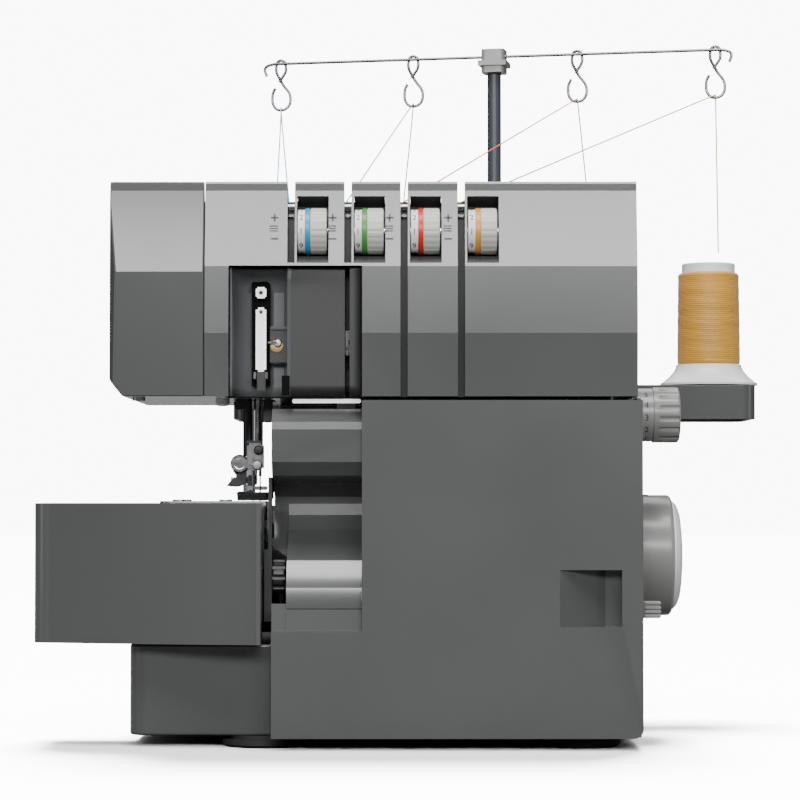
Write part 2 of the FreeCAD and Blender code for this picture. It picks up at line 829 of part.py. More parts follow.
def feedLever():
    inner = bodyRight - wall - seam
    tipY = leverPivotY - leverReach
    arm = block(inner - 4, inner, tipY - 1, leverPivotY, leverPivotZ - 3, leverPivotZ + 3)
    hub = rodX(inner - 4, inner, leverPivotY, leverPivotZ, 6.0)
    tab = block(inner - 4, 137.5, tipY - 1.5, tipY + 2.5, leverPivotZ - 4.5, leverPivotZ + 4.5)
    ribs = [block(129.5, 138.0, tipY - 3, tipY - 1.5, leverPivotZ + dz - 0.7, leverPivotZ + dz + 0.7)
            for dz in (-3.4, -1.1, 1.1, 3.4)]
    thumb = block(129.0, 137.5, tipY - 2, tipY, leverPivotZ - 4.5, leverPivotZ + 4.5)
    body = joined([arm, hub, tab, thumb] + ribs)
    return body.cut(rodX(inner - 5, inner + 1, leverPivotY, leverPivotZ, 2.0 + runFit))


# ---------------------------------------------------------------- sewing point
clampBottom = 145.8
clampTop = 160.8
springBottom = 229.0
springTop = 262.0
collarTop = 268.0


def needleBar():
    return rodZ(needleX, needleY, clampTop - 9, 258.0, needleBarRadius)


def needleClamp():
    body = block(-82.6, -73.4, needleY - 5.5, needleY + 5.5, clampBottom, clampTop)
    body = body.makeFillet(1.2, edgesAlong(body, Vec(0, 0, 1), lambda p: True))
    bore = rodZ(needleX, needleY, clampTop - 9, clampTop + 1, needleBarRadius)
    holes = [rodZ(x, needleY, clampBottom - 1, clampTop - 9, 0.9) for x in needlePlaces]
    return grouped([body.cut([bore] + holes)] + clampScrews())


needlePlaces = (-79.4, -75.6)


def needles():
    pieces = []
    for x in needlePlaces:
        tip = clampBottom - 25
        shank = rodZ(x, needleY, clampBottom - 3, clampTop - 9, 0.9)
        blade = rodZ(x, needleY, tip + 4, clampBottom - 3, 0.45)
        point = Part.makeCone(0.08, 0.45, 4, Vec(x, needleY, tip))
        pieces.append(joined([shank, blade, point]))
    return grouped(pieces)


def clampScrews():
    head = rodY(-77.5, needleY - 9.5, needleY - 5.5, clampBottom + 11, 3.4)
    low = rodY(-80.6, needleY - 7.5, needleY - 5.5, clampBottom + 3.5, 1.6)
    slot = block(-80.9, -74.1, needleY - 9.6, needleY - 8.6, clampBottom + 10.6, clampBottom + 11.4)
    return [head.cut(slot), low]


footSole = plateTop + 0.2


def presserBar():
    bar = rodZ(presserX, presserY, footSole + 13, 274.0, presserBarRadius)
    return grouped([bar, presserCollar()])


def presserCollar():
    ring = rodZ(presserX, presserY, springTop, collarTop, 7.0)
    return ring.cut(rodZ(presserX, presserY, springTop - 1, collarTop + 1, presserBarRadius))


def presserSpring():
    turns = 7
    wire = 0.7
    low, high = springBottom, springTop
    pitch = (high - low - 2 * wire) / turns
    radius = presserBarRadius + 1.6
    helix = Part.makeHelix(pitch, high - low - 2 * wire, radius)
    helix.translate(Vec(presserX, presserY, low + wire))
    start = Vec(presserX + radius, presserY, low + wire)
    circle = Part.Wire([Part.makeCircle(wire, start, Vec(0, 1, 0))])
    return Part.Wire(helix.Edges).makePipeShell([circle], True, True)


def presserFoot():
    low = footSole
    sole = block(-87.0, -70.2, 44.0, 86.0, low, low + 2.2)
    ramp = alongX([(37, low + 3.6), (38, low + 4.6), (44.0, low + 2.2), (44.0, low)], -87.0, -70.2)
    slot = block(-83.4, -73.0, 53.0, 67.0, low - 1, low + 6)
    ankle = block(-85.6, -79.4, 74.0, 85.0, low + 2.2, low + 9)
    side = block(-87.0, -84.2, 50.0, 84.0, low + 2.2, low + 5.0)
    return joined([sole, ramp, ankle, side]).cut(slot)


def footHolder():
    low = footSole + 9.2
    body = block(-87.4, -78.4, 74.5, 86.5, low, low + 15)
    bar = rodZ(presserX, presserY, footSole + 13, low + 16, presserBarRadius)
    latch = block(-92.6, -87.4, 78.0, 81.0, low + 1, low + 3.6)
    return grouped([joined([body, latch]).cut(bar), holderScrew()])


def holderScrew():
    middle = footSole + 18
    head = rodX(-91.4, -90.6, presserY + 1, middle, 2.6)
    return joined([rodX(-90.6, -87.4, presserY + 1, middle, 3.6), head])


lifterX = -68.0
lifterZ = 212.0
lifterRadius = 3.0
lifterReach = 46.0
lifterThickness = 8.0


def lifterLever():
    outside = headDepth + 0.5
    arm = block(lifterX, lifterX + lifterReach, outside, outside + lifterThickness, lifterZ - 5, lifterZ + 5)
    arm = arm.makeFillet(2, edgesAlong(arm, Vec(0, 1, 0), lambda p: p.x > lifterX + 10))
    hub = rodY(lifterX, outside, outside + lifterThickness, lifterZ, 8.0)
    return joined([arm, hub, rodY(lifterX, 120.0, outside + 1, lifterZ, lifterRadius)])


# ---------------------------------------------------------------- free arm, knives and loopers
plateRight = -71.4
feedSlotFront = 66.0
feedSlotBack = 87.0
toothRows = (-84.0, -79.0, -74.0)
toothWidth = 2.2


def needlePlate():
    plate = block(armLeft + 3, plateRight, armFront + 3, armBack - 2, plateTop - plateThickness, plateTop)
    plate = plate.makeFillet(6, edgesAlong(plate, Vec(0, 0, 1), lambda p: p.x < armLeft + 4))
    cuts = [block(-81.8, -73.2, 56.8, 63.2, plateTop - 5, plateTop + 1)]
    for x in toothRows:
        half = toothWidth / 2 + 0.6
        cuts.append(block(x - half, x + half, feedSlotFront, feedSlotBack, plateTop - 5, plateTop + 1))
    return plate.cut(grouped(cuts))


def plateScrews():
    pieces = []
    for x, y in ((-118, 44), (-118, 84), (-96, 90)):
        head = rodZ(x, y, plateTop, plateTop + 0.8, 3.6)
        pieces.append(head.cut(block(x - 3, x + 3, y - 0.4, y + 0.4, plateTop + 0.3, plateTop + 2)))
    return pieces


def freeArmCover():
    right = columnLeft - 5.0
    top = plateTop - plateThickness
    outer = block(armLeft, right, armFront, bedBeamBack - 9, armBottom, top)
    outer = outer.makeFillet(8, edgesAlong(outer, Vec(0, 0, 1), lambda p: p.x < armLeft + 1))
    inner = block(armLeft + wall, right + 1, armFront + wall, bedBeamBack, armBottom + wall, top + 1)
    return outer.cut(inner)


def feedDogs():
    pieces = [block(-86.0, -72.0, 68.2, 84.6, 114.5, 119.0)]
    for x in toothRows:
        low, high = 119.0, plateTop - 0.3
        base = block(x - toothWidth / 2, x + toothWidth / 2, 68.2, 84.6, low, high - 0.9)
        pieces.append(base)
        count = 9
        step = 16.4 / count
        for index in range(count):
            y = 68.2 + step * index
            tooth = alongX([(y, high - 0.9), (y + step * 0.3, high), (y + step, high - 0.9)],
                           x - toothWidth / 2, x + toothWidth / 2)
            pieces.append(tooth)
    pieces.append(block(-86.0, -72.0, 76.0, 84.0, 108.0, 114.5))
    return joined(pieces)


def looperBlade(pivotX, pivotZ, y0, y1, tipX, tipZ):
    reach = [(pivotX - 2, pivotZ + 3.5), (pivotX - 12, pivotZ + 8), (tipX + 6, tipZ + 1.5), (tipX, tipZ),
             (tipX + 7, tipZ - 2.5), (pivotX - 10, pivotZ + 1), (pivotX - 2, pivotZ - 3.5)]
    blade = alongY(reach, y0, y1)
    hub = rodY(pivotX, y0 - 1, y1 + 3, pivotZ, 5.5)
    return joined([blade, hub]).cut(rodY(pivotX, y0 - 2, y1 + 4, pivotZ, looperShaftRadius))


def lowerLooper():
    shaft = rodY(lowerLooperX, 60.0, bedBeamBack + 2, lowerLooperZ, looperShaftRadius)
    return grouped([looperBlade(lowerLooperX, lowerLooperZ, 63.6, 65.8, -85.0, 114.0), shaft])


def upperLooper():
    shaft = rodY(upperLooperX, 50.0, bedBeamBack + 2, upperLooperZ, looperShaftRadius)
    return grouped([looperBlade(upperLooperX, upperLooperZ, 52.4, 54.6, -66.5, 119.5), shaft])


knifeX = -70.9


def lowerKnife():
    blade = block(knifeX, knifeX + 1.3, 46.0, 60.0, 112.0, plateTop - 0.1)
    holder = block(knifeX, knifeX + 3.2, 60.0, bedBeamBack - 9, 117.5, 124.0)
    return grouped([blade, holder])


def knifeArm():
    x0, x1 = knifeX + 1.5, columnLeft - 0.5
    post = block(x0 - 2.2, x1, 21.0, 29.0, 66.0, 104.0)
    mast = block(x0, x1, 21.0, 28.0, 104.0, 142.0)
    yoke = block(x0, x1, 21.0, 60.0, 134.0, 142.0)
    blade = block(x0, x0 + 1.3, 44.0, 58.0, 130.6, 134.0)
    return grouped([joined([post, mast, yoke]), blade])


def knifeKnob():
    start = columnLeft - 0.3
    profile = [(0, 0), (0, knobRadius - 1), (1, knobRadius), (6, knobRadius), (7, knobRadius - 1), (7, 0)]
    knob = turned(profile, Vec(start, knobY, knobZ), Vec(1, 0, 0))
    grips = []
    for step in range(10):
        angle = 2 * math.pi * step / 10
        y = knobY + (knobRadius + 0.6) * math.cos(angle)
        z = knobZ + (knobRadius + 0.6) * math.sin(angle)
        grips.append(rodX(start - 1, start + 9, y, z, 1.7))
    return knob.cut(grouped(grips))


# ---------------------------------------------------------------- extension table
def tablePlan(inset):
    """Plan of the table: its front sweeps back to the left, and its left corners are round."""
    left = tableLeft + inset
    front = tableSweep + inset
    back = tableBack - inset
    radius = tableCorner - inset
    near = radius * (1 - math.sqrt(0.5))
    bow = Vec((left + tableRight) / 2 + 10, inset + (front - inset) * 0.36, 0)
    return outline([
        Vec(tableRight, inset, 0),
        (bow, Vec(left + radius, front, 0)),
        (Vec(left + near, front + near, 0), Vec(left, front + radius, 0)),
        Vec(left, back - radius, 0),
        (Vec(left + near, back - near, 0), Vec(left + radius, back, 0)),
        Vec(tableRight, back, 0),
    ])


def extensionTable():
    tall = tableTop - tableBottom
    outer = tablePlan(0).extrude(Vec(0, 0, tall))
    outer.translate(Vec(0, 0, tableBottom))
    inner = tablePlan(wall).extrude(Vec(0, 0, tall))
    inner.translate(Vec(0, 0, tableBottom - wall))
    shell = outer.cut(inner)
    armGap = block(armLeft - 2, tableRight + 1, armFront - 1, tableBack + 1, tableBottom - 1, tableTop + 1)
    cheek = block(tableRight - wall, tableRight, 0.1, cheekBack, tableBottom, tableTop)
    return shell.cut(armGap).fuse(cheek).removeSplitter()


def lampLens():
    low = headBottom - 3.5
    dome = rodZ(lampX, lampY, low, headBottom + wall + 1.2, lampRadius)
    return dome.makeFillet(1.6, [edge for edge in dome.Edges if edge.BoundBox.ZMax < low + 0.5])


def screws():
    pieces = plateScrews()
    for x, y in ((headLeft + 14, 24.0), (headRight - 12, headDepth - 16)):
        head = rodZ(x, y, headBottom - 1.6, headBottom, 3.4)
        pieces.append(head.cut(block(x - 2.6, x + 2.6, y - 0.5, y + 0.5, headBottom - 2, headBottom - 0.8)))
    for x, z in ((headLeft + 20, 200.0), (headRight - 14, 200.0),
                 (headRight - 14, 262.0), (headLeft + 20, 262.0)):
        head = rodY(x, headDepth, headDepth + 1.6, z, 3.4)
        pieces.append(head.cut(block(x - 2.6, x + 2.6, headDepth + 0.8, headDepth + 2, z - 0.5, z + 0.5)))
    for x, z in ((columnLeft + 12, 24.0), (bodyRight - 18, 24.0),
                 (columnLeft + 12, 160.0), (bodyRight - 18, 160.0)):
        head = rodY(x, bodyDepth, bodyDepth + 1.6, z, 3.4)
        pieces.append(head.cut(block(x - 2.6, x + 2.6, bodyDepth + 0.8, bodyDepth + 2, z - 0.5, z + 0.5)))
    return grouped(pieces)


# ---------------------------------------------------------------- thread stand
pinPlaces = [standX + side for side in (-outerPin, -innerPin, innerPin, outerPin)]
coneBottom = trayTop + 1.0


def threadTray():
    outer = block(trayLeft, trayRight, trayFront, trayBack, trayBottom, trayTop)
    outer = outer.makeFillet(8, edgesAlong(outer, Vec(0, 0, 1), lambda p: True))
    inner = block(trayLeft + wall, trayRight - wall, trayFront + wall, trayBack - wall, trayBottom - 1,
                  trayTop - wall)
    shell = outer.cut(inner)
    tubeHole = rodZ(poleX, poleY, trayBottom, trayTop + 1, tubeRadius)
    socket = rodZ(poleX, poleY, trayBottom, trayTop - wall, tubeRadius + 3)
    pinTop = coneBottom + coneHeight + spoolHeight - 4
    pins = [rodZ(x, pinY, trayTop - wall, pinTop, pinRadius) for x in pinPlaces]
    return joined([shell, socket] + pins + trayBrackets()).cut(tubeHole)


def trayBrackets():
    pieces = []
    for x in (columnLeft + 20, bodyRight - 30):
        pieces.append(block(x, x + 14, bodyDepth, trayFront + 1, trayBottom - 6.5, trayBottom + 4))
    return pieces


def coneBases():
    pieces = []
    for x in pinPlaces:
        profile = [(0, 2.6), (0, coneRadius - 1.5), (1.2, coneRadius), (2.4, coneRadius - 0.6),
                   (5.0, coneRadius - 4.5), (9.0, coneRadius - 8.8), (coneHeight, spoolRadius - 1.5),
                   (coneHeight, 2.6)]
        pieces.append(turned(profile, Vec(x, pinY, coneBottom), Vec(0, 0, 1)))
    return grouped(pieces)


def threadSpool(x):
    """A plastic core with a wide top rim, and the thread wound on it."""
    low = Vec(x, pinY, coneBottom + coneHeight)
    core = coreTopRadius - 2
    height = spoolHeight
    body = turned([(0, 4.0), (0, core), (height, core), (height, capRadius), (height + capHeight, capRadius),
                   (height + capHeight, 12.5), (height + 1, 11.0), (height + 1, 4.0)], low, Vec(0, 0, 1))
    winding = turned([(0, core), (0, spoolRadius - 1.5), (2, spoolRadius), (height - 2, spoolRadius - 0.6),
                      (height, spoolRadius - 2), (height, core)], low, Vec(0, 0, 1))
    return [body, winding]


def threadSpools():
    pieces = []
    for x in pinPlaces:
        pieces += threadSpool(x)
    return grouped(pieces)


def lowerTube():
    outer = rodZ(poleX, poleY, tubeBottom, tubeTop, tubeRadius)
    return outer.cut(rodZ(poleX, poleY, tubeBottom - 1, tubeTop + 1, poleRadius + runFit))


def upperPole():
    return rodZ(poleX, poleY, poleBottom, poleTop, poleRadius)


def smoothPath(points, share):
    """Straight runs joined by tangent arcs; share is how much of the shorter run an arc takes."""
    edges = []
    here = points[0]
    for before, corner, after in zip(points, points[1:], points[2:]):
        into, out = corner - before, after - corner
        trim = share * min(into.Length, out.Length)
        into.normalize()
        out.normalize()
        enter, leave = corner - into * trim, corner + out * trim
        half = into.getAngle(out) / 2
        radius = trim / math.tan(half)
        inward = (out - into).normalize()
        centre = corner + inward * (radius / math.cos(half))
        edges.append(Part.LineSegment(here, enter).toShape())
        edges.append(Part.Arc(enter, centre - inward * radius, leave).toShape())
        here = leave
    edges.append(Part.LineSegment(here, points[-1]).toShape())
    return Part.Wire(edges)


def swept(path, radius):
    start = path.Edges[0]
    heading = start.tangentAt(start.FirstParameter)
    place = start.valueAt(start.FirstParameter)
    ring = Part.Wire([Part.makeCircle(radius, place, heading)])
    return path.makePipeShell([ring], True, True)


def placedOnPole(shape):
    """Turns a shape drawn about the bar's middle with the bar, and lifts it to the pole."""
    shape.rotate(Vec(0, 0, 0), Vec(0, 0, 1), -barTurn)
    shape.translate(Vec(poleX, poleY, barZ))
    return shape


hookOffsets = (-outerHook, -innerHook, innerHook, outerHook)


hookBehind = 2 * wireRadius + 0.05


def hookWire(offset):
    """A figure-eight hook just behind the bar: a small eye above and a wide loop below."""
    low = -hookDrop
    eyeTop, waist = 2.6, -12.0
    pairs = [(-1.2, waist + 1), (3.4, -4.5), (2.6, eyeTop - 1.2), (0, eyeTop), (-2.6, eyeTop - 1.2),
             (-3.4, -4.5), (1.0, waist - 1), (5.4, waist - 6), (5.4, low + 4.6), (2.6, low + 0.9),
             (-2.6, low + 0.9), (-5.4, low + 4.6), (-5.4, waist - 6), (-3.6, waist - 2.6)]
    depths = [0.0] + [0.0] * 4 + [0.0, 2.0] + [2.0] * 2 + [0.0] * 2 + [0.0] * 3
    points = [Vec(offset + x, hookBehind + y, z) for (x, z), y in zip(pairs, depths)]
    return swept(smoothPath(points, 0.45), wireRadius)


def barWire():
    side = barHalf
    points = [Vec(-side - 1, 0, -7.5), Vec(-side - 3, 0, -2.0), Vec(-side + 2.5, 0, 0), Vec(side - 2.5, 0, 0),
              Vec(side + 3, 0, -2.0), Vec(side + 1, 0, -7.5)]
    return swept(smoothPath(points, 0.45), wireRadius)


def guideBar():
    bar = barWire()
    hooks = [hookWire(offset) for offset in hookOffsets]
    return placedOnPole(grouped([bar] + hooks))


def poleCap():
    half = (6.9, 7.5)
    body = block(-half[0], half[0], -half[1], half[1], poleTop - barZ, poleTop - barZ + 14.0)
    body = body.makeFillet(2.5, edgesAlong(body, Vec(0, 0, 1), lambda p: True))
    flange = block(-half[0] - 1.5, half[0] + 1.5, -half[1] - 1.5, half[1] + 1.5, -6, -3)
    slit = rodX(-20, 20, 0, 0, wireRadius)
    return placedOnPole(joined([body, flange]).cut(slit))


# ---------------------------------------------------------------- threads
threadColours = ("blue", "green", "red", "gold")
spoolExit = 6.0             # where the thread leaves the spool's rim, from its axis
slotEntry = 0.55


def threadRoute(index):
    """From the spool's top up over the hook's lowest wire, and down to the slot's guide."""
    offset = hookOffsets[index]
    turn = math.radians(-barTurn)
    rest = wireRadius + 0.9 + 2 * threadRadius - 0.1
    eye = Vec(offset, hookBehind, rest - hookDrop)
    eye = Vec(poleX + eye.x * math.cos(turn) - eye.y * math.sin(turn),
              poleY + eye.x * math.sin(turn) + eye.y * math.cos(turn), barZ + eye.z)
    spoolTop = coneBottom + coneHeight + spoolHeight + capHeight
    spool = Vec(pinPlaces[index] + spoolExit, pinY, spoolTop + 0.6)
    slot = Vec(slotLefts[index] + slotEntry, slotThreadY, slotThreadZ)
    across = Vec(-math.sin(turn), math.cos(turn), 0) * (wireRadius + threadRadius + 0.5)
    back, front = eye + across, eye - across
    return [spool, back, front, slot]


def threadTube(index):
    route = threadRoute(index)
    path = smoothPath(route, 0.45)
    tube = swept(path, threadRadius)
    section = math.pi * threadRadius ** 2
    print("thread", threadColours[index], "length", round(path.Length, 1),
          "volume ratio", round(tube.Volume / (section * path.Length), 3))
    return tube


# ---------------------------------------------------------------- writing
def objectNodes():
    made = {
        "feet": feet(),
        "base_pan": basePan(),
        "left_base_cover": leftBaseCover(),
        "rear_cover": rearCover(),
        "side_cover": sideCover(),
        "power_inlet": powerInlet(),
        "switch_rocker": switchRocker(),
        "front_cover": frontCover(),
        "cover_hinge_rod": coverHingeRod(),
        "head_cover": headCover(),
        "head_rear_cover": headRearCover(),
        "face_cover": faceCover(),
        "recess_panel": recessPanel(),
        "thread_guides": threadGuides(),
        "wire_guides": wireGuides(),
        "frame_casting": frameCasting(),
        "shaft_bushes": shaftBushes(),
        "main_shaft": mainShaft(),
        "shaft_pulley": shaftPulley(),
        "handwheel": handwheel(),
        "motor_body": motorBody(),
        "motor_pulley": motorPulley(),
        "drive_belt": driveBelt(),
        "length_dial": lengthDial(),
        "feed_lever": feedLever(),
        "needle_bar": needleBar(),
        "needle_clamp": needleClamp(),
        "needles": needles(),
        "presser_bar": presserBar(),
        "presser_spring": presserSpring(),
        "presser_foot": presserFoot(),
        "foot_holder": footHolder(),
        "lifter_lever": lifterLever(),
        "needle_plate": needlePlate(),
        "free_arm_cover": freeArmCover(),
        "feed_dogs": feedDogs(),
        "lower_looper": lowerLooper(),
        "upper_looper": upperLooper(),
        "lower_knife": lowerKnife(),
        "knife_arm": knifeArm(),
        "knife_knob": knifeKnob(),
        "extension_table": extensionTable(),
        "lamp_lens": lampLens(),
        "screws": screws(),
        "thread_tray": threadTray(),
        "cone_bases": coneBases(),
        "thread_spools": threadSpools(),
        "lower_tube": lowerTube(),
        "upper_pole": upperPole(),
        "pole_cap": poleCap(),
        "guide_bar": guideBar(),
    }
    for index, colour in enumerate(threadColours):
        made["tension_dial_" + colour] = tensionDial(index)
    return made


def main():
    os.makedirs("parts", exist_ok=True)
    made = objectNodes()
    box = Part.makeCompound(list(made.values())).optimalBoundingBox(False)
    shift = Vec(-(box.XMin + box.XMax) / 2, -(box.YMin + box.YMax) / 2, -box.ZMin)
    for index, colour in enumerate(threadColours):
        made["thread_" + colour] = threadTube(index)
    for name, shape in made.items():
        shape.translate(shift)
        shape.exportStep("parts/" + name + ".step")
    print("nodes", len(made), "shift", round(shift.x, 4), round(shift.y, 4), round(shift.z, 4))
    print("size", round(box.XLength, 2), round(box.YLength, 2), round(box.ZLength, 2))


main()
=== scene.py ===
import json
import math

import bmesh
import bpy
from mathutils import Matrix, Vector


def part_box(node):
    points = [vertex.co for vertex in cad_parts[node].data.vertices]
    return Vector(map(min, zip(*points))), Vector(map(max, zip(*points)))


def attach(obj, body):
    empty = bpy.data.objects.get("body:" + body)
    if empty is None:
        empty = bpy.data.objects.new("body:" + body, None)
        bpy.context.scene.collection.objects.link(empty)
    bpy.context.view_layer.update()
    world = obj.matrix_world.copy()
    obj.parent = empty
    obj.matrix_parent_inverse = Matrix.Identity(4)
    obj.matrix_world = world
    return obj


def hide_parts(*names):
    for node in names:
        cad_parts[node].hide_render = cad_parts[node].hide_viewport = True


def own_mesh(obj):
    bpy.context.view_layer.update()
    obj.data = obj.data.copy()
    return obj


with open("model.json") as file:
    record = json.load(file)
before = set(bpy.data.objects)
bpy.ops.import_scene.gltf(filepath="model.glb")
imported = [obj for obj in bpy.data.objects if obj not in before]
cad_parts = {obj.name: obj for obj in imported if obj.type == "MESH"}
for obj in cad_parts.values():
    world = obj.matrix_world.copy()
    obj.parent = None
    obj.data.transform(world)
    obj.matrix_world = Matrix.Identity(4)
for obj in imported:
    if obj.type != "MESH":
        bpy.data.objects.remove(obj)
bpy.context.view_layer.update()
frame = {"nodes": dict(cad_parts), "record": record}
print("frame loaded:", len(frame["nodes"]), "nodes")

nodeSlots = {part["node"]: part["material_slot"] for part in frame["record"]["subparts"]}
nodeBody = {}
for bodyName, members in frame["record"]["behaviour"]["bodies"].items():
    for member in members:
        nodeBody[member] = bodyName


def low(node):
    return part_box(node)[0]


def high(node):
    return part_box(node)[1]


# camera: level with the needle plate, well back, tipped up a little
cameraSetup = {"side": -0.010, "height": 0.130, "distance": 1.5, "aimHeight": 0.182, "lens": 129.8}
frontPlane = low("front_cover").y
cameraData = bpy.data.cameras.new("camera")
cameraData.lens = cameraSetup["lens"]
cameraData.sensor_width = 36
camera = bpy.data.objects.new("camera", cameraData)
bpy.context.scene.collection.objects.link(camera)
camera.location = (cameraSetup["side"], frontPlane - cameraSetup["distance"], cameraSetup["height"])
tip = math.atan2(cameraSetup["aimHeight"] - cameraSetup["height"], cameraSetup["distance"])
camera.rotation_euler = (math.pi / 2 + tip, 0, 0)
bpy.context.scene.camera = camera


def areaLight(name, place, aim, width, height, power):
    data = bpy.data.lights.new(name, "AREA")
    data.shape = "RECTANGLE"
    data.size, data.size_y = width, height
    data.energy = power
    lamp = bpy.data.objects.new(name, data)
    bpy.context.scene.collection.objects.link(lamp)
    lamp.location = place
    lamp.rotation_euler = (Vector(aim) - Vector(place)).to_track_quat("-Z", "Y").to_euler()


# a broad lamp over the front, one overhead, weak ones beside and behind, and a sun for the floor alone
lighting = {
    "worldStrength": 0.07, "backdrop": 10.0, "overPower": 68, "topPower": 80, "sidePower": 4, "backPower": 30,
    "floorSun": 46, "sunSpread": 24, "sunLean": -22,
}
areaLight("overFront", (0.0, -2.5, 1.05), (0, 0, 0.2), 2.6, 0.55, lighting["overPower"])
areaLight("leftFill", (-2.2, -0.9, 0.7), (0, 0, 0.15), 0.8, 1.4, lighting["sidePower"])
areaLight("rightFill", (2.2, -0.7, 0.8), (0, 0, 0.15), 0.8, 1.4, lighting["sidePower"])
areaLight("backTop", (0.0, 1.5, 1.9), (0, 0.1, 0.2), 2.4, 1.0, lighting["backPower"])
areaLight("overhead", (0.0, -0.9, 2.3), (0, 0, 0.1), 1.8, 1.0, lighting["topPower"])
washData = bpy.data.lights.new("floorWash", "SUN")
washData.energy = lighting["floorSun"]
washData.angle = math.radians(lighting["sunSpread"])
floorWash = bpy.data.objects.new("floorWash", washData)
floorWash.rotation_euler = (math.radians(lighting["sunLean"]), 0, 0)
bpy.context.scene.collection.objects.link(floorWash)
floorOnly = bpy.data.collections.new("floorOnly")
floorWash.light_linking.receiver_collection = floorOnly

world = bpy.data.worlds.new("studio")
bpy.context.scene.world = world
world.use_nodes = True
background = world.node_tree.nodes["Background"]
seen = world.node_tree.nodes.new("ShaderNodeLightPath")
strength = world.node_tree.nodes.new("ShaderNodeMapRange")
strength.inputs["To Min"].default_value = lighting["worldStrength"]
strength.inputs["To Max"].default_value = lighting["backdrop"]
world.node_tree.links.new(seen.outputs["Is Camera Ray"], strength.inputs["Value"])
world.node_tree.links.new(strength.outputs["Result"], background.inputs["Strength"])
background.inputs["Color"].default_value = (1, 1, 1, 1)


# shader groups, each built once
def newGroup(name, inputs, outputs):
    group = bpy.data.node_groups.new(name, "ShaderNodeTree")
    for label, kind, value in inputs:
        socket = group.interface.new_socket(name=label, in_out="INPUT", socket_type=kind)
        if value is not None:
            socket.default_value = value
    for label, kind in outputs:
        group.interface.new_socket(name=label, in_out="OUTPUT", socket_type=kind)
    return group, group.nodes.new("NodeGroupInput"), group.nodes.new("NodeGroupOutput")


def addNode(tree, kind, **settings):
    node = tree.nodes.new(kind)
    for key, value in settings.items():
        if key in node.inputs:
            node.inputs[key].default_value = value
        else:
            setattr(node, key, value)
    return node


def mixColour(tree, factor, first, second, blend="MIX"):
    node = tree.nodes.new("ShaderNodeMix")
    node.data_type = "RGBA"
    node.blend_type = blend
    sockets = (node.inputs[0], node.inputs[6], node.inputs[7])
    for socket, value in zip(sockets, (factor, first, second)):
        if isinstance(value, bpy.types.NodeSocket):
            tree.links.new(value, socket)
        elif isinstance(value, (int, float)):
            socket.default_value = value
        else:
            socket.default_value = (*value[:3], 1)
    return node.outputs[2]


def valueMath(tree, operation, first, second, clamp=False):
    node = tree.nodes.new("ShaderNodeMath")
    node.operation = operation
    node.use_clamp = clamp
    for socket, value in zip(node.inputs, (first, second)):
        if isinstance(value, bpy.types.NodeSocket):
            tree.links.new(value, socket)
        else:
            socket.default_value = value
    return node.outputs[0]


def buildMouldGrain():
    # fine spark-eroded texture plus the slow unevenness of a moulding
    group, source, target = newGroup(
        "mouldGrain",
        [("Size", "NodeSocketFloat", 2200.0), ("Waviness", "NodeSocketFloat", 14.0)],
        [("Height", "NodeSocketFloat"), ("Patch", "NodeSocketFloat")],
    )
    place = addNode(group, "ShaderNodeTexCoord")
    fine = addNode(group, "ShaderNodeTexNoise", Detail=3.0, Roughness=0.6)
    slow = addNode(group, "ShaderNodeTexNoise", Detail=2.0, Roughness=0.5)
    link = group.links.new
    link(place.outputs["Object"], fine.inputs["Vector"])
    link(place.outputs["Object"], slow.inputs["Vector"])
    link(source.outputs["Size"], fine.inputs["Scale"])
    link(source.outputs["Waviness"], slow.inputs["Scale"])
    link(fine.outputs["Fac"], target.inputs["Height"])
    link(slow.outputs["Fac"], target.inputs["Patch"])
    return group


def buildEdgeHighlightGroup():
    # painted highlight on convex edges, taken from the mesh's own convexity
    group, source, target = newGroup(
        "edgeHighlightGroup",
        [
            ("Colour", "NodeSocketColor", (0.2, 0.2, 0.2, 1)),
            ("Rubbed", "NodeSocketColor", (0.4, 0.4, 0.4, 1)),
            ("Amount", "NodeSocketFloat", 0.5),
        ],
        [("Colour", "NodeSocketColor"), ("Mask", "NodeSocketFloat")],
    )
    geometry = addNode(group, "ShaderNodeNewGeometry")
    ramp = addNode(group, "ShaderNodeMapRange")
    ramp.inputs["From Min"].default_value = 0.505
    ramp.inputs["From Max"].default_value = 0.56
    link = group.links.new
    link(geometry.outputs["Pointiness"], ramp.inputs["Value"])
    mask = valueMath(group, "MULTIPLY", ramp.outputs["Result"], source.outputs["Amount"], True)
    colour = mixColour(group, mask, source.outputs["Colour"], source.outputs["Rubbed"])
    link(colour, target.inputs["Colour"])
    link(mask, target.inputs["Mask"])
    return group


def buildBrushLines():
    # short scratches left by grinding, drawn out along one axis
    group, source, target = newGroup(
        "brushLines",
        [("Along", "NodeSocketVector", (1.0, 1.0, 1.0)), ("Scale", "NodeSocketFloat", 900.0)],
        [("Height", "NodeSocketFloat"), ("Patch", "NodeSocketFloat")],
    )
    place = addNode(group, "ShaderNodeTexCoord")
    stretch = addNode(group, "ShaderNodeVectorMath", operation="MULTIPLY")
    lines = addNode(group, "ShaderNodeTexNoise", Detail=2.0)
    slow = addNode(group, "ShaderNodeTexNoise", Scale=60.0, Detail=2.0)
    link = group.links.new
    link(place.outputs["Object"], stretch.inputs[0])
    link(source.outputs["Along"], stretch.inputs[1])
    link(stretch.outputs[0], lines.inputs["Vector"])
    link(source.outputs["Scale"], lines.inputs["Scale"])
    link(place.outputs["Object"], slow.inputs["Vector"])
    link(lines.outputs["Fac"], target.inputs["Height"])
    link(slow.outputs["Fac"], target.inputs["Patch"])
    return group


mouldGrain = buildMouldGrain()
edgeHighlightGroup = buildEdgeHighlightGroup()
brushLines = buildBrushLines()


def newMaterial(name):
    material = bpy.data.materials.new(name)
    material.use_nodes = True
    return material, material.node_tree, material.node_tree.nodes["Principled BSDF"]


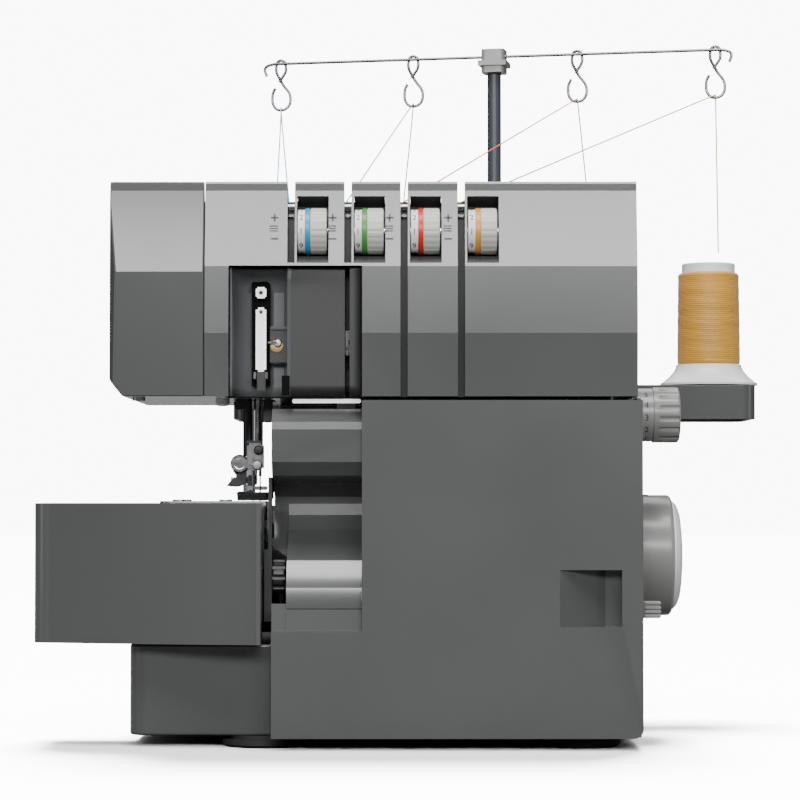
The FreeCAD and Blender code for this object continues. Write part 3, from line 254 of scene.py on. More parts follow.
def useGroup(tree, group, **values):
    node = tree.nodes.new("ShaderNodeGroup")
    node.node_tree = group
    for key, value in values.items():
        node.inputs[key].default_value = value
    return node


def bumpFrom(tree, shader, height, distance):
    bump = addNode(tree, "ShaderNodeBump", Strength=1.0, Distance=distance)
    tree.links.new(height, bump.inputs["Height"])
    tree.links.new(bump.outputs["Normal"], shader.inputs["Normal"])


# how far the colour and gloss of each family wander over a piece, and how much lighter the painted edge
# highlight of the plastics is
plasticToneAndHighlight = {
    "waviness": 14.0, "highlightGain": 1.35, "highlightLift": 0.02, "patch": 0.06, "glossSpread": 0.08, "coatRough": 0.12,
}
metalWear = {"patch": 0.12, "glossSpread": 0.14, "glossDrop": 0.05}


def mouldedPlastic(name, colour, rough, grainSize=2200.0, depth=0.000012, edgeHighlight=0.35, coat=0.0):
    w = plasticToneAndHighlight
    material, tree, shader = newMaterial(name)
    grain = useGroup(tree, mouldGrain, Size=grainSize, Waviness=w["waviness"])
    # convex edges get a painted highlight: a lighter copy of the colour, mixed in by the edge mask
    highlitColour = tuple(min(1.0, c * w["highlightGain"] + w["highlightLift"]) for c in colour)
    edgeLit = useGroup(tree, edgeHighlightGroup, Colour=(*colour, 1), Rubbed=(*highlitColour, 1), Amount=edgeHighlight)
    darker = tuple(c * (1 - w["patch"]) for c in colour)
    base = mixColour(tree, grain.outputs["Patch"], darker, edgeLit.outputs["Colour"])
    base = mixColour(tree, 0.5, base, edgeLit.outputs["Colour"])
    tree.links.new(base, shader.inputs["Base Color"])
    spread = valueMath(tree, "MULTIPLY_ADD", grain.outputs["Patch"], w["glossSpread"])
    spread.node.inputs[2].default_value = rough - w["glossSpread"] / 2
    tree.links.new(spread, shader.inputs["Roughness"])
    shader.inputs["Coat Weight"].default_value = coat
    shader.inputs["Coat Roughness"].default_value = w["coatRough"]
    bumpFrom(tree, shader, grain.outputs["Height"], depth)
    return material


def metalFinish(name, colour, rough, along=(1, 1, 1), scale=900.0, depth=0.000006):
    material, tree, shader = newMaterial(name)
    lines = useGroup(tree, brushLines, Along=along, Scale=scale)
    darker = tuple(c * (1 - metalWear["patch"]) for c in colour)
    tree.links.new(mixColour(tree, lines.outputs["Patch"], darker, colour), shader.inputs["Base Color"])
    shader.inputs["Metallic"].default_value = 1.0
    spread = valueMath(tree, "MULTIPLY_ADD", lines.outputs["Height"], metalWear["glossSpread"])
    spread.node.inputs[2].default_value = rough - metalWear["glossDrop"]
    tree.links.new(spread, shader.inputs["Roughness"])
    bumpFrom(tree, shader, lines.outputs["Height"], depth)
    return material


# the ink of each winding, and the brighter one of the single thread that runs off it
threadInks = {
    "blue": (0.01, 0.2, 0.42), "green": (0.02, 0.2, 0.07),
    "red": (0.6, 0.03, 0.03), "gold": (0.56, 0.27, 0.012),
}
runInks = {
    "blue": (0.02, 0.42, 0.9), "green": (0.04, 0.5, 0.16),
    "red": (0.95, 0.06, 0.07), "gold": (0.9, 0.52, 0.08),
}


def spunThread(name, colour):
    # plies that lie round the thread: a fine slanted wave in colour and height
    material, tree, shader = newMaterial(name)
    place = addNode(tree, "ShaderNodeTexCoord")
    wave = addNode(tree, "ShaderNodeTexWave", Scale=700.0, Distortion=1.5, Detail=1.0)
    wave.bands_direction = "DIAGONAL"
    tree.links.new(place.outputs["Object"], wave.inputs["Vector"])
    shade = tuple(c * 0.6 for c in colour)
    tree.links.new(mixColour(tree, wave.outputs["Fac"], shade, colour), shader.inputs["Base Color"])
    shader.inputs["Roughness"].default_value = 0.55
    shader.inputs["Sheen Weight"].default_value = 0.3
    bumpFrom(tree, shader, wave.outputs["Fac"], 0.00004)
    return material


finishes = {
    "cover_grey": mouldedPlastic("coverGrey", (0.064, 0.067, 0.0658), 0.23, coat=0.5),
    "dark_grey": mouldedPlastic("darkGrey", (0.045, 0.047, 0.049), 0.42),
    "black_plastic": mouldedPlastic("blackPlastic", (0.012, 0.012, 0.013), 0.38),
    "rubber_black": mouldedPlastic(
        "rubberBlack", (0.012, 0.012, 0.012), 0.7, grainSize=900.0, depth=0.00004, edgeHighlight=0.15
    ),
    "white_plastic": mouldedPlastic("whitePlastic", (0.78, 0.78, 0.77), 0.35, edgeHighlight=0.1),
    "wheel_grey": mouldedPlastic("wheelGrey", (0.22, 0.225, 0.215), 0.34, coat=0.2),
    "dial_grey": mouldedPlastic("dialGrey", (0.50, 0.50, 0.455), 0.42),
    "steel": metalFinish("groundSteel", (0.56, 0.56, 0.57), 0.28, along=(1, 6, 6)),
    "bright_chrome": metalFinish("brightChrome", (0.62, 0.63, 0.65), 0.14, scale=400.0, depth=0.000002),
    "cast_metal": metalFinish("castMetal", (0.5, 0.51, 0.52), 0.5, scale=600.0, depth=0.00004),
    "bronze": metalFinish("sinteredBronze", (0.55, 0.36, 0.16), 0.45, scale=1500.0, depth=0.00002),
    "belt_rubber": mouldedPlastic("beltRubber", (0.015, 0.015, 0.015), 0.65, grainSize=1200.0),
    "motor_steel": metalFinish("motorSteel", (0.2, 0.2, 0.21), 0.45, along=(6, 1, 1)),
    "pole_paint": mouldedPlastic("polePaint", (0.030, 0.036, 0.046), 0.4),
    "lamp_white": mouldedPlastic("lampWhite", (0.82, 0.82, 0.8), 0.25, edgeHighlight=0.05),
    "spool_thread": spunThread("windingGold", threadInks["gold"]),
    "machine_screws": metalFinish("zincScrew", (0.45, 0.45, 0.46), 0.32, scale=1200.0),
}
for ink, colour in runInks.items():
    finishes["thread_" + ink] = spunThread("thread" + ink.capitalize(), colour)
finishes["wire_steel"] = metalFinish("wireSteel", (0.2, 0.21, 0.23), 0.3, scale=500.0)
finishes["blackened"] = metalFinish("blackenedSteel", (0.05, 0.052, 0.056), 0.33, scale=700.0)
# pieces whose finish is not that of their slot
ownFinish = {"guide_bar": "wire_steel", "presser_bar": "blackened", "needle_plate": "steel"}
for nodeName, cadNode in frame["nodes"].items():
    cadNode.data.materials.clear()
    cadNode.data.materials.append(finishes[ownFinish.get(nodeName, nodeSlots[nodeName])])
print("finishes made:", len(finishes))


# floor: a wide pale table top
floorSetup = {"width": 16.0, "front": 5.0, "back": 9.0, "bounce": 0.012}
floorMesh = bpy.data.meshes.new("paleFloor")
floorBuild = bmesh.new()
halfWide = floorSetup["width"] / 2
corners = ((-halfWide, -floorSetup["front"]), (halfWide, -floorSetup["front"]),
           (halfWide, floorSetup["back"]), (-halfWide, floorSetup["back"]))
floorBuild.faces.new([floorBuild.verts.new((side, along, 0)) for side, along in corners])
floorBuild.to_mesh(floorMesh)
floorBuild.free()
floorPlane = bpy.data.objects.new("paleFloor", floorMesh)
bpy.context.scene.collection.objects.link(floorPlane)
floorOnly.objects.link(floorPlane)
floorMaterial, floorTree, floorShader = newMaterial("paleFloor")
floorGrain = useGroup(floorTree, mouldGrain, Size=120.0, Waviness=1.5)
floorTint = mixColour(floorTree, floorGrain.outputs["Patch"], (0.86, 0.86, 0.86), (0.9, 0.9, 0.9))
floorPath = addNode(floorTree, "ShaderNodeLightPath")
floorBounce = (floorSetup["bounce"],) * 3
floorSeen = mixColour(floorTree, floorPath.outputs["Is Camera Ray"], floorBounce, floorTint)
floorTree.links.new(floorSeen, floorShader.inputs["Base Color"])
floorShader.inputs["Roughness"].default_value = 0.8
floorShader.inputs["Specular IOR Level"].default_value = 0.1
floorMesh.materials.append(floorMaterial)


# threads: each leaves its spool, goes through its hook and drops into its slot
threadSetup = {
    "radius": 0.0004,
    "sides": 8,
    "swing": math.radians(12),
    "barOrigin": (0.0466, 0.09385),
    "eyeHeight": 0.3695,
    "hookBehind": 0.00185,
    "eyeHalf": 0.0018,
    "spoolTop": (0.006, 0.09585, 0.2781),
    "slotTop": (-0.12165, 0.2856),
    "foldHeight": 0.282,
    "keep": 0.31,
    "pins": {"blue": -0.092, "green": -0.017, "red": 0.100, "gold": 0.175},
    "hooks": {"blue": -0.1325, "green": -0.050, "red": 0.050, "gold": 0.1325},
    "slots": {"blue": -0.06825, "green": -0.03855, "red": -0.00915, "gold": 0.02075},
    "lengths": {"blue": 0.3561, "green": 0.3391, "red": 0.3404, "gold": 0.3561},
}


def hookPlace(ink):
    # the eye of the hook, where the thread bears on the wire
    setup = threadSetup
    offset, behind = setup["hooks"][ink], setup["hookBehind"]
    turnCos, turnSin = math.cos(setup["swing"]), math.sin(setup["swing"])
    side = setup["barOrigin"][0] + offset * turnCos + behind * turnSin
    deep = setup["barOrigin"][1] - offset * turnSin + behind * turnCos
    return Vector((side, deep, setup["eyeHeight"]))


def threadPoints(ink):
    setup = threadSetup
    eye = hookPlace(ink)
    along = Vector((math.sin(setup["swing"]), math.cos(setup["swing"]), 0)) * setup["eyeHalf"]
    offset, deep, rise = setup["spoolTop"]
    spoolEnd = Vector((setup["pins"][ink] + offset, deep, rise))
    slotEnd = Vector((setup["slots"][ink], *setup["slotTop"]))
    return [spoolEnd, eye + along, eye - along, slotEnd]


def splineLine(name, points):
    # the smooth line through a route, read back as plain points
    data = bpy.data.curves.new(name, "CURVE")
    data.dimensions = "3D"
    data.resolution_u = 24
    spline = data.splines.new("NURBS")
    spline.points.add(len(points) - 1)
    for target, point in zip(spline.points, points):
        target.co = (*point, 1)
    spline.order_u = 3
    spline.use_endpoint_u = True
    holder = bpy.data.objects.new(name, data)
    bpy.context.scene.collection.objects.link(holder)
    bpy.context.view_layer.update()
    line = bpy.data.meshes.new_from_object(holder)
    found = [vertex.co.copy() for vertex in line.vertices]
    bpy.data.objects.remove(holder)
    return found


def sweepTube(name, line, radius, sides, material):
    # a round tube along a line, its frame carried forward so that it never twists
    build = bmesh.new()
    rings = []
    across = None
    for index, point in enumerate(line):
        ahead = line[min(index + 1, len(line) - 1)] - line[max(index - 1, 0)]
        ahead.normalize()
        if across is None:
            across = ahead.orthogonal().normalized()
        across = (across - ahead * across.dot(ahead)).normalized()
        over = ahead.cross(across)
        ring = []
        for step in range(sides):
            turn = 2 * math.pi * step / sides
            ring.append(build.verts.new(point + (across * math.cos(turn) + over * math.sin(turn)) * radius))
        rings.append(ring)
    for near, far in zip(rings, rings[1:]):
        for step in range(sides):
            after = (step + 1) % sides
            build.faces.new((near[step], near[after], far[after], far[step]))
    build.faces.new(list(reversed(rings[0])))
    build.faces.new(rings[-1])
    return finishMesh(name, build, material)


def finishMesh(name, build, material, smooth=True):
    bmesh.ops.recalc_face_normals(build, faces=build.faces)
    mesh = bpy.data.meshes.new(name)
    build.to_mesh(mesh)
    build.free()
    if smooth:
        for face in mesh.polygons:
            face.use_smooth = True
    piece = bpy.data.objects.new(name, mesh)
    bpy.context.scene.collection.objects.link(piece)
    mesh.materials.append(material)
    return piece


for ink in threadInks:
    route = splineLine("threadLine_" + ink, threadPoints(ink))
    material = finishes["thread_" + ink]
    thread = sweepTube("thread_run_" + ink, route, threadSetup["radius"], threadSetup["sides"], material)
    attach(thread, "machine")
    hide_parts("thread_" + ink)
    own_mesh(thread)
print("threads strung:", len(threadInks))


# the moulded shells, with the small radii that a mould leaves on every edge
middleToSide = 0.1264
machineZero = Vector((high("side_cover").x - middleToSide, low("front_cover").y, 0))


def spot(side, deep, rise):
    # a place given in millimetres from the middle of the front plane
    return machineZero + Vector((side, deep, rise)) / 1000


# faces within flat degrees of each other are joined, and a face of more than broad square metres
# has its own crease angle
mouldSetup = {"weld": 1e-6, "flat": 0.6, "segments": 3, "edgeAngle": 28, "broad": 0.004, "broadCrease": 2}


def softened(node, edge, darkBoxes=(), darkFinish=None, crease=14):
    s = mouldSetup
    mesh = frame["nodes"][node].data.copy()
    build = bmesh.new()
    build.from_mesh(mesh)
    bmesh.ops.remove_doubles(build, verts=build.verts, dist=s["weld"])
    level = math.radians(s["flat"])
    bmesh.ops.dissolve_limit(build, angle_limit=level, verts=build.verts, edges=build.edges)
    for face in build.faces:
        centre = face.calc_center_median()
        for lowest, highest in darkBoxes:
            if all(lowest[axis] <= centre[axis] <= highest[axis] for axis in range(3)):
                face.material_index = 1
    build.to_mesh(mesh)
    build.free()
    mesh.materials.clear()
    mesh.materials.append(finishes[nodeSlots[node]])
    if darkFinish:
        mesh.materials.append(darkFinish)
    for face in mesh.polygons:
        face.use_smooth = True
    mesh.set_sharp_from_angle(angle=math.radians(crease))
    sharpen = bmesh.new()
    sharpen.from_mesh(mesh)
    for face in sharpen.faces:
        if face.calc_area() > s["broad"]:
            for line in face.edges:
                line.smooth = line.smooth and line.calc_face_angle(0) < math.radians(s["broadCrease"])
    sharpen.to_mesh(mesh)
    sharpen.free()
    piece = bpy.data.objects.new(node + "_moulded", mesh)
    bpy.context.scene.collection.objects.link(piece)
    bevel = piece.modifiers.new("mouldRadius", "BEVEL")
    bevel.width = edge
    bevel.segments = s["segments"]
    bevel.limit_method = "ANGLE"
    bevel.angle_limit = math.radians(s["edgeAngle"])
    bevel.harden_normals = True
    bevel.use_clamp_overlap = True
    even = piece.modifiers.new("evenShading", "WEIGHTED_NORMAL")
    even.keep_sharp = True
    even.weight = 100
    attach(piece, nodeBody[node])
    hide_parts(node)


pocketShade = mouldedPlastic("pocketShade", (0.012, 0.0125, 0.0135), 0.55, edgeHighlight=0.1)
windowShade = mouldedPlastic("windowShade", (0.003, 0.003, 0.003), 0.8, edgeHighlight=0.0)
windowShade.node_tree.nodes["Principled BSDF"].inputs["Specular IOR Level"].default_value = 0.1
shellEdges = {
    "head_rear_cover": 0.0012, "face_cover": 0.0016, "left_base_cover": 0.0022, "rear_cover": 0.0012,
    "side_cover": 0.0008, "extension_table": 0.0009, "free_arm_cover": 0.0008, "thread_tray": 0.0012,
    "front_cover": 0.0009, "feed_lever": 0.0004, "knife_knob": 0.0003, "frame_casting": 0.0008,
    "base_pan": 0.0008, "lower_tube": 0.0004,
}
facetCrease = 2  # the head's facets meet at shallow angles and stay crisp
for node, edge in shellEdges.items():
    if node in ("face_cover", "head_rear_cover"):
        softened(node, edge, crease=facetCrease)
    else:
        softened(node, edge)
# faces inside the recess, the dial windows and the thread slots are in deep shade
pocketBox = (spot(-89.8, 2.6, 180), spot(-19.4, 40, 252.4))
slotBox = (spot(-62, 3.2, 180), spot(60, 40, 296))
softened("head_cover", 0.0008, (pocketBox, slotBox), windowShade, crease=facetCrease)
print("shells moulded:", len(shellEdges) + 1)


# small building helpers
def blockPiece(name, lowest, highest, material, body, edge, turn=None):
    build = bmesh.new()
    centre, half = (lowest + highest) / 2, (highest - lowest) / 2
    bmesh.ops.create_cube(build, size=2)
    for vertex in build.verts:
        vertex.co = Vector([c * h for c, h in zip(vertex.co, half)])
    if edge:
        rounding = min(edge, min(half) * 0.8)
        bmesh.ops.bevel(build, geom=build.edges[:], offset=rounding, segments=2, affect="EDGES")
    if turn:
        bmesh.ops.rotate(build, verts=build.verts, cent=(0, 0, 0), matrix=turn)
    bmesh.ops.translate(build, verts=build.verts, vec=centre)
    piece = finishMesh(name, build, material, smooth=False)
    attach(piece, body)
    return piece


def placeBlocks(blocks, body):
    # each block: its near and far corners in millimetres, its finish and how far its edges are rounded
    return {
        name: blockPiece(name, spot(*near), spot(*far), finish, body, edge)
        for name, (near, far, finish, edge) in blocks.items()
    }


def turnedPiece(name, profile, centre, axis, material, body, steps=64, wobble=None):
    # profile pairs are (along, radius); wobble changes the radius round the turn
    build = bmesh.new()
    axis = Vector(axis)
    across = axis.orthogonal().normalized()
    over = axis.cross(across)
    rings = []
    for along, radius in profile:
        ring = []
        for step in range(steps):
            turn = 2 * math.pi * step / steps
            size = radius * (wobble(turn, along) if wobble else 1)
            outward = (across * math.cos(turn) + over * math.sin(turn)) * size
            ring.append(build.verts.new(Vector(centre) + axis * along + outward))
        rings.append(ring)
    for near, far in zip(rings, rings[1:]):
        for step in range(steps):
            after = (step + 1) % steps
            build.faces.new((near[step], near[after], far[after], far[step]))
    build.faces.new(list(reversed(rings[0])))
    build.faces.new(rings[-1])
    piece = finishMesh(name, build, material)
    piece.data.set_sharp_from_angle(angle=math.radians(35))
    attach(piece, body)
    return piece


def prismPiece(name, ends, material, body, edge=0, smooth=False):
    # a closed prism between two outlines that have the same number of corners
    build = bmesh.new()
    first, last = [[build.verts.new(corner) for corner in outline] for outline in ends]
    build.faces.new(first)
    build.faces.new(list(reversed(last)))
    for step in range(len(first)):
        after = (step + 1) % len(first)
        build.faces.new((first[step], last[step], last[after], first[after]))
    if edge:
        bmesh.ops.bevel(build, geom=build.edges[:], offset=edge, segments=2, affect="EDGES")
    piece = finishMesh(name, build, material, smooth)
    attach(piece, body)
    return piece


# the threading recess: a curved dark wall, a flat panel and a narrow channel
recessSetup = {
    "left": -89.0, "right": -20.2, "bottom": 184.6, "top": 251.8, "front": 5.2, "panelFront": 8.0,
    "panelLeft": -57.0, "panelRight": -29.6, "channelRight": -25.8, "channelDeep": 22.0,
    "cornerWide": 11, "cornerDeep": 15, "cornerStart": 9, "cornerSteps": 8,
    "leanStart": 238, "lean": 0.55, "wall": 0.001,
}
recessDark = mouldedPlastic("recessDark", (0.10, 0.105, 0.11), 0.42, edgeHighlight=0.2)
recessPanelFinish = mouldedPlastic("recessPanel", (0.013, 0.0135, 0.0135), 0.5, edgeHighlight=0.2)


def recessWall():
    s = recessSetup
    cornerSide, cornerFront = s["left"] + 0.4, s["front"] + s["cornerStart"]
    line = [(s["left"], s["front"]), (cornerSide, cornerFront)]
    for step in range(s["cornerSteps"] + 1):
        turn = math.pi / 2 * step / s["cornerSteps"]
        line.append((
            cornerSide + s["cornerWide"] * (1 - math.cos(turn)),
            cornerFront + s["cornerDeep"] * math.sin(turn),
        ))
    line += [(-70.5, 29.6), (-66.5, 27.0), (-61.0, 27.0), (-58.6, 24.0), (-58.2, s["panelFront"] + 1.2)]
    line += [(s["panelLeft"], s["panelFront"]), (s["panelRight"], s["panelFront"])]
    line += [(s["panelRight"] + 0.2, s["channelDeep"]), (s["channelRight"], s["channelDeep"])]
    line += [(s["channelRight"] + 0.2, s["front"] + 0.4), (s["right"], s["front"])]
    build = bmesh.new()
    heights = [s["bottom"], 190, 200, 215, 230, 240, 246, 250, s["top"]]
    rows = []
    for rise in heights:
        # the wall leans forward under the top edge, which throws the shade there
        lean = max(0.0, (rise - s["leanStart"]) / (s["top"] - s["leanStart"]))
        row = []
        for side, deep in line:
            if side < s["panelLeft"]:
                deep -= (deep - s["front"]) * s["lean"] * lean ** 2
            row.append(build.verts.new(spot(side, deep, rise)))
        rows.append(row)
    for near, far in zip(rows, rows[1:]):
        for index in range(len(line) - 1):
            build.faces.new((near[index], near[index + 1], far[index + 1], far[index]))
    piece = finishMesh("recess_wall", build, recessDark)
    piece.data.materials.append(recessPanelFinish)
    for face in piece.data.polygons:
        if spot(s["panelLeft"] - 0.3, 0, 0).x < face.center.x < spot(s["right"], 0, 0).x:
            face.material_index = 1
    piece.data.set_sharp_from_angle(angle=math.radians(30))
    thick = piece.modifiers.new("wallThickness", "SOLIDIFY")
    thick.thickness = s["wall"]
    thick.offset = -1
    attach(piece, "machine")
    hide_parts("recess_panel")


recessWall()
white, black, chrome = finishes["white_plastic"], finishes["black_plastic"], finishes["bright_chrome"]

# the guides are moulded in a bright white; the material also glows, painted light that keeps them bright in
# the shaded recess
guideWhiteGlow = mouldedPlastic("guideWhiteGlow", (0.95, 0.95, 0.94), 0.4, edgeHighlight=0.0)
guideGlowShader = guideWhiteGlow.node_tree.nodes["Principled BSDF"]
guideGlowShader.inputs["Emission Color"].default_value = (1, 1, 1, 1)
guideGlowShader.inputs["Emission Strength"].default_value = 0.9
guideBlocks = {
    "guide_slot_shade": ((-78.4, 24, 190), (-68.6, 25, 251), windowShade, 0.0003),
    "guide_bar_white": ((-76.0, 17.6, 197.5), (-70.6, 20.5, 231.5), guideWhiteGlow, 0.0012),
    "guide_tag_white": ((-76.0, 17.6, 236.4), (-70.6, 20.5, 242.2), guideWhiteGlow, 0.0008),
    "guide_foot_0": ((-77.2, 16.6, 193.6), (-75.8, 22, 197.4), chrome, 0.0003),
    "guide_foot_1": ((-71.0, 16.6, 193.6), (-69.6, 22, 197.4), chrome, 0.0003),
    "guide_stem": ((-75.4, 17.5, 187), (-70.8, 21, 197.6), black, 0.0005),
}
guidePieces = placeBlocks(guideBlocks, "machine")
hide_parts("thread_guides")
guideDots = {
    "guide_dot_green": (239.2, 0.0011, (0.02, 0.06, 0.03)),
    "guide_dot_blue": (229.0, 0.0010, (0.02, 0.1, 0.16)),
}
for name, (rise, radius, ink) in guideDots.items():
    dotInk = mouldedPlastic(name + "Ink", ink, 0.5, edgeHighlight=0.0)
    dotProfile = [(0, radius), (0.00028, radius), (0.0004, radius * 0.8)]
    turnedPiece(name, dotProfile, spot(-73.3, 17.6, rise), (0, -1, 0), dotInk, "machine", steps=24)

# the check spring housing, with its strip and screw, and what lies in the channel
checkBlocks = {
    "check_box_body": ((-68.6, 19, 202), (-58.9, 26, 221.0), black, 0.0006),
    "check_box_lid": ((-68.4, 17.6, 219.6), (-59.4, 20, 221.6), finishes["dark_grey"], 0.0004),
    # the white strip is in the glowing guide material, so its brightness is partly painted light
    "check_box_strip": ((-59.3, 17.4, 207.0), (-58.1, 20, 219.0), guideWhiteGlow, 0.0002),
    "check_arm": ((-69.6, 16.4, 212.3), (-65.0, 17.2, 213.5), chrome, 0.0002),
    # painted shade: dark blocks in the shade finish stand for the dark in a slot and in the channel
    "recess_slot_shade": ((-61.8, 6.0, 184.8), (-57.9, 9, 195.0), windowShade, 0.0002),
    "channel_bit_0": ((-28.4, 12, 209.6), (-27.0, 14, 217.0), chrome, 0.0003),
    "channel_bit_1": ((-28.4, 12, 205.6), (-27.0, 14, 208.6), chrome, 0.0003),
    "channel_bit_shade": ((-28.4, 12, 201.4), (-27.0, 14, 204.6), windowShade, 0.0003),
    # painted light: a glowing strip that stands in for the bright light seen under the head, above the looper
    # cover
    "throat_glow_strip": ((-56.5, 14.0, 180.9), (-20.6, 15.0, 183.0), guideWhiteGlow, 0.0004),
}
placeBlocks(checkBlocks, "machine")
checkTurned = {
    "check_screw": ([(0, 0.0022), (0.0012, 0.0022), (0.0017, 0.0016), (0.0018, 0.0002)],
                    (-64.4, 19, 212.6), "machine_screws"),
    "check_washer": ([(0, 0.0033), (0.0005, 0.0034), (0.0007, 0.0028)], (-65.0, 19, 211.0), "bronze"),
}
for name, (profile, place, finish) in checkTurned.items():
    turnedPiece(name, profile, spot(*place), (0, -1, 0), finishes[finish], "machine", steps=24)
print("threading recess fitted")


# tension dials: a numbered band, a coloured ring and a ribbed grip, in line
dialSetup = {
    "lefts": {"blue": -58.8, "green": -29.1, "red": 0.3, "gold": 30.2},
    "start": 5.4, "deep": 10.6, "rise": 270.9, "radius": 12.25,
    "numberWidth": 3.8, "ringWidth": 2.6, "gripWidth": 8.8, "ribs": 22, "ribDepth": 0.022,
    "digits": 9, "digitHeight": 3.3,
}
ringInks = {
    "blue": (0.02, 0.28, 0.48), "green": (0.06, 0.26, 0.05),
    "red": (0.55, 0.03, 0.02), "gold": (0.62, 0.28, 0.03),
}
digitInk = mouldedPlastic("digitInk", (0.012, 0.012, 0.012), 0.5, edgeHighlight=0.0)


def flatText(label, height):
    # one figure as a plain mesh, centred, its height along Y
    data = bpy.data.curves.new("figure", "FONT")
    data.body = label
    data.size = height * 1.4  # capitals are about 0.7 of the type size
    data.align_x, data.align_y = "CENTER", "CENTER"
    data.resolution_u = 3
    holder = bpy.data.objects.new("figure", data)
    bpy.context.scene.collection.objects.link(holder)
    bpy.context.view_layer.update()
    mesh = bpy.data.meshes.new_from_object(holder)
    bpy.data.objects.remove(holder)
    return mesh


def figuresRound(name, labels, centre, side, radius, height, body, spread, first):
    # figures laid on a drum about the X axis, reading upright as they come round to the front
    build = bmesh.new()
    clear = radius + 0.00012
    for index, label in enumerate(labels):
        mesh = flatText(label, height)
        turn = first + index * spread
        start = len(build.verts)
        build.from_mesh(mesh)
        build.verts.ensure_lookup_table()
        for vertex in build.verts[start:]:
            angle = turn + vertex.co.y / radius
            vertex.co = Vector((
                side + vertex.co.x,
                centre.y - clear * math.cos(angle),
                centre.z + clear * math.sin(angle),
            ))
    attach(finishMesh(name, build, digitInk, smooth=False), body)


def tensionDial(ink):
    s = dialSetup
    body = "dial_" + ink
    centre = spot(s["lefts"][ink] + s["start"], s["deep"], s["rise"])
    radius = s["radius"] / 1000
    numberEnd = s["numberWidth"] / 1000
    ringEnd = numberEnd + s["ringWidth"] / 1000
    gripEnd = ringEnd + s["gripWidth"] / 1000
    drum = radius - 0.0008
    band = [(0, 0.003), (0, drum - 0.0004), (0.0003, drum), (numberEnd, drum)]
    number = turnedPiece("dial_numbers_" + ink, band, centre, (1, 0, 0), white, body)
    ringFinish = mouldedPlastic("ring" + ink.capitalize(), ringInks[ink], 0.35, edgeHighlight=0.05)
    ring = [
        (numberEnd, 0.003), (numberEnd, radius - 0.0004), (numberEnd + 0.0003, radius),
        (ringEnd - 0.0003, radius), (ringEnd, radius - 0.0004),
    ]
    turnedPiece("dial_ring_" + ink, ring, centre, (1, 0, 0), ringFinish, body)

    def rib(turn, along):
        deepest = s["ribDepth"] if ringEnd + 0.001 < along < gripEnd - 0.0006 else 0.0
        return 1 - deepest * (0.5 - 0.5 * math.cos(turn * s["ribs"])) ** 3

    grip = [
        (ringEnd, 0.003), (ringEnd, radius - 0.0006), (ringEnd + 0.0006, radius), (ringEnd + 0.0012, radius),
        (gripEnd - 0.0010, radius), (gripEnd - 0.0003, radius - 0.0004), (gripEnd, radius - 0.0011),
        (gripEnd, 0.003),
    ]
    handle = turnedPiece(
        "dial_grip_" + ink, grip, centre, (1, 0, 0), finishes["dial_grey"], body, s["ribs"] * 10, rib
    )
    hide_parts("tension_dial_" + ink)
    labels = [str(1 + index) for index in range(s["digits"])]
    figuresRound(
        "dial_figures_" + ink, labels, centre, centre.x + numberEnd * 0.48, drum, s["digitHeight"] / 1000,
        body, 2 * math.pi / s["digits"], math.radians(-6),
    )


for ink in dialSetup["lefts"]:
    tensionDial(ink)

# marks beside each dial on the sloping facet: more, a set of bars, less
markSetup = {
    "sides": (-65.6, -35.2, -5.4, 25.2),
    "facetFoot": 252, "facetFront": 1.42, "facetDeep": 5.5, "facetTall": 40,
    "sign": 4.0, "stroke": 0.9, "moreRise": 277.6, "lessRise": 266.4,
    "barRises": (273.2, 271.9, 270.6), "barWidth": 4.4, "barStroke": 0.6, "barShift": -0.4,
}
markInk = mouldedPlastic("markInk", (0.05, 0.05, 0.05), 0.5, edgeHighlight=0.0)
facetTurn = Matrix.Rotation(-math.atan2(markSetup["facetDeep"], markSetup["facetTall"]), 3, "X")


def mark(name, side, rise, width, height):
    s = markSetup
    deep = s["facetFront"] + (rise - s["facetFoot"]) / s["facetTall"] * s["facetDeep"]
    place = spot(side, deep, rise)
    half = Vector((width / 2000, 0.0001, height / 2000))
    blockPiece(name, place - half, place + half, markInk, "machine", 0, facetTurn)


s = markSetup
for index, side in enumerate(s["sides"]):
    tail = "_" + str(index)
    mark("mark_plus_wide" + tail, side, s["moreRise"], s["sign"], s["stroke"])
    mark("mark_plus_tall" + tail, side, s["moreRise"], s["stroke"], s["sign"])
    mark("mark_less" + tail, side, s["lessRise"], s["sign"], s["stroke"])
    for bar, rise in enumerate(s["barRises"]):
        mark("mark_bar" + str(bar) + tail, side + s["barShift"], rise, s["barWidth"], s["barStroke"])

# each window's sloping lower lip, its shaded hood and the guides in the thread slots
windowSetup = {
    "left": 5.1, "right": 21.3,
    "lip": [(4.6, 254.0), (2.4, 254.0), (2.6, 254.6), (8.5, 257.6), (9.5, 257.6), (9.5, 254.0)],
    "hood": [(6.6, 288.9), (7.0, 288.9), (17.5, 284.4), (17.5, 288.9)],
    "guides": ((282.2, 283.2), (278.6, 280.0)), "guideLeft": 0.3, "guideRight": 3.4,
}
s = windowSetup
for ink, left in dialSetup["lefts"].items():
    for part, finish in (("lip", finishes["cover_grey"]), ("hood", pocketShade)):
        ends = [[spot(left + s[end], deep, rise) for deep, rise in s[part]] for end in ("left", "right")]
        prismPiece("window_" + part + "_" + ink, ends, finish, "machine")
    slotGuides = {
        "slot_guide_" + ink + "_" + str(bit): (
            (left + s["guideLeft"], 11.5, bottom), (left + s["guideRight"], 13.5, top), chrome, 0.0003
        )
        for bit, (bottom, top) in enumerate(s["guides"])
    }
    placeBlocks(slotGuides, "machine")
print("tension dials fitted")


# cone threads: a crosswound body, white end caps and a flared white base
spoolSetup = {
    "pins": {"blue": -82.0, "green": -7.0, "red": 110.0, "gold": 185.0},
    "deep": 227.0, "baseRise": 198.5, "baseTall": 12.5, "baseRadius": 28.9,
    "bodyRadius": 18.9, "bodyTall": 60.5, "capRadius": 15.9, "capTall": 5.9,
    "rows": 150, "ridge": 0.00012, "steps": 96,
}


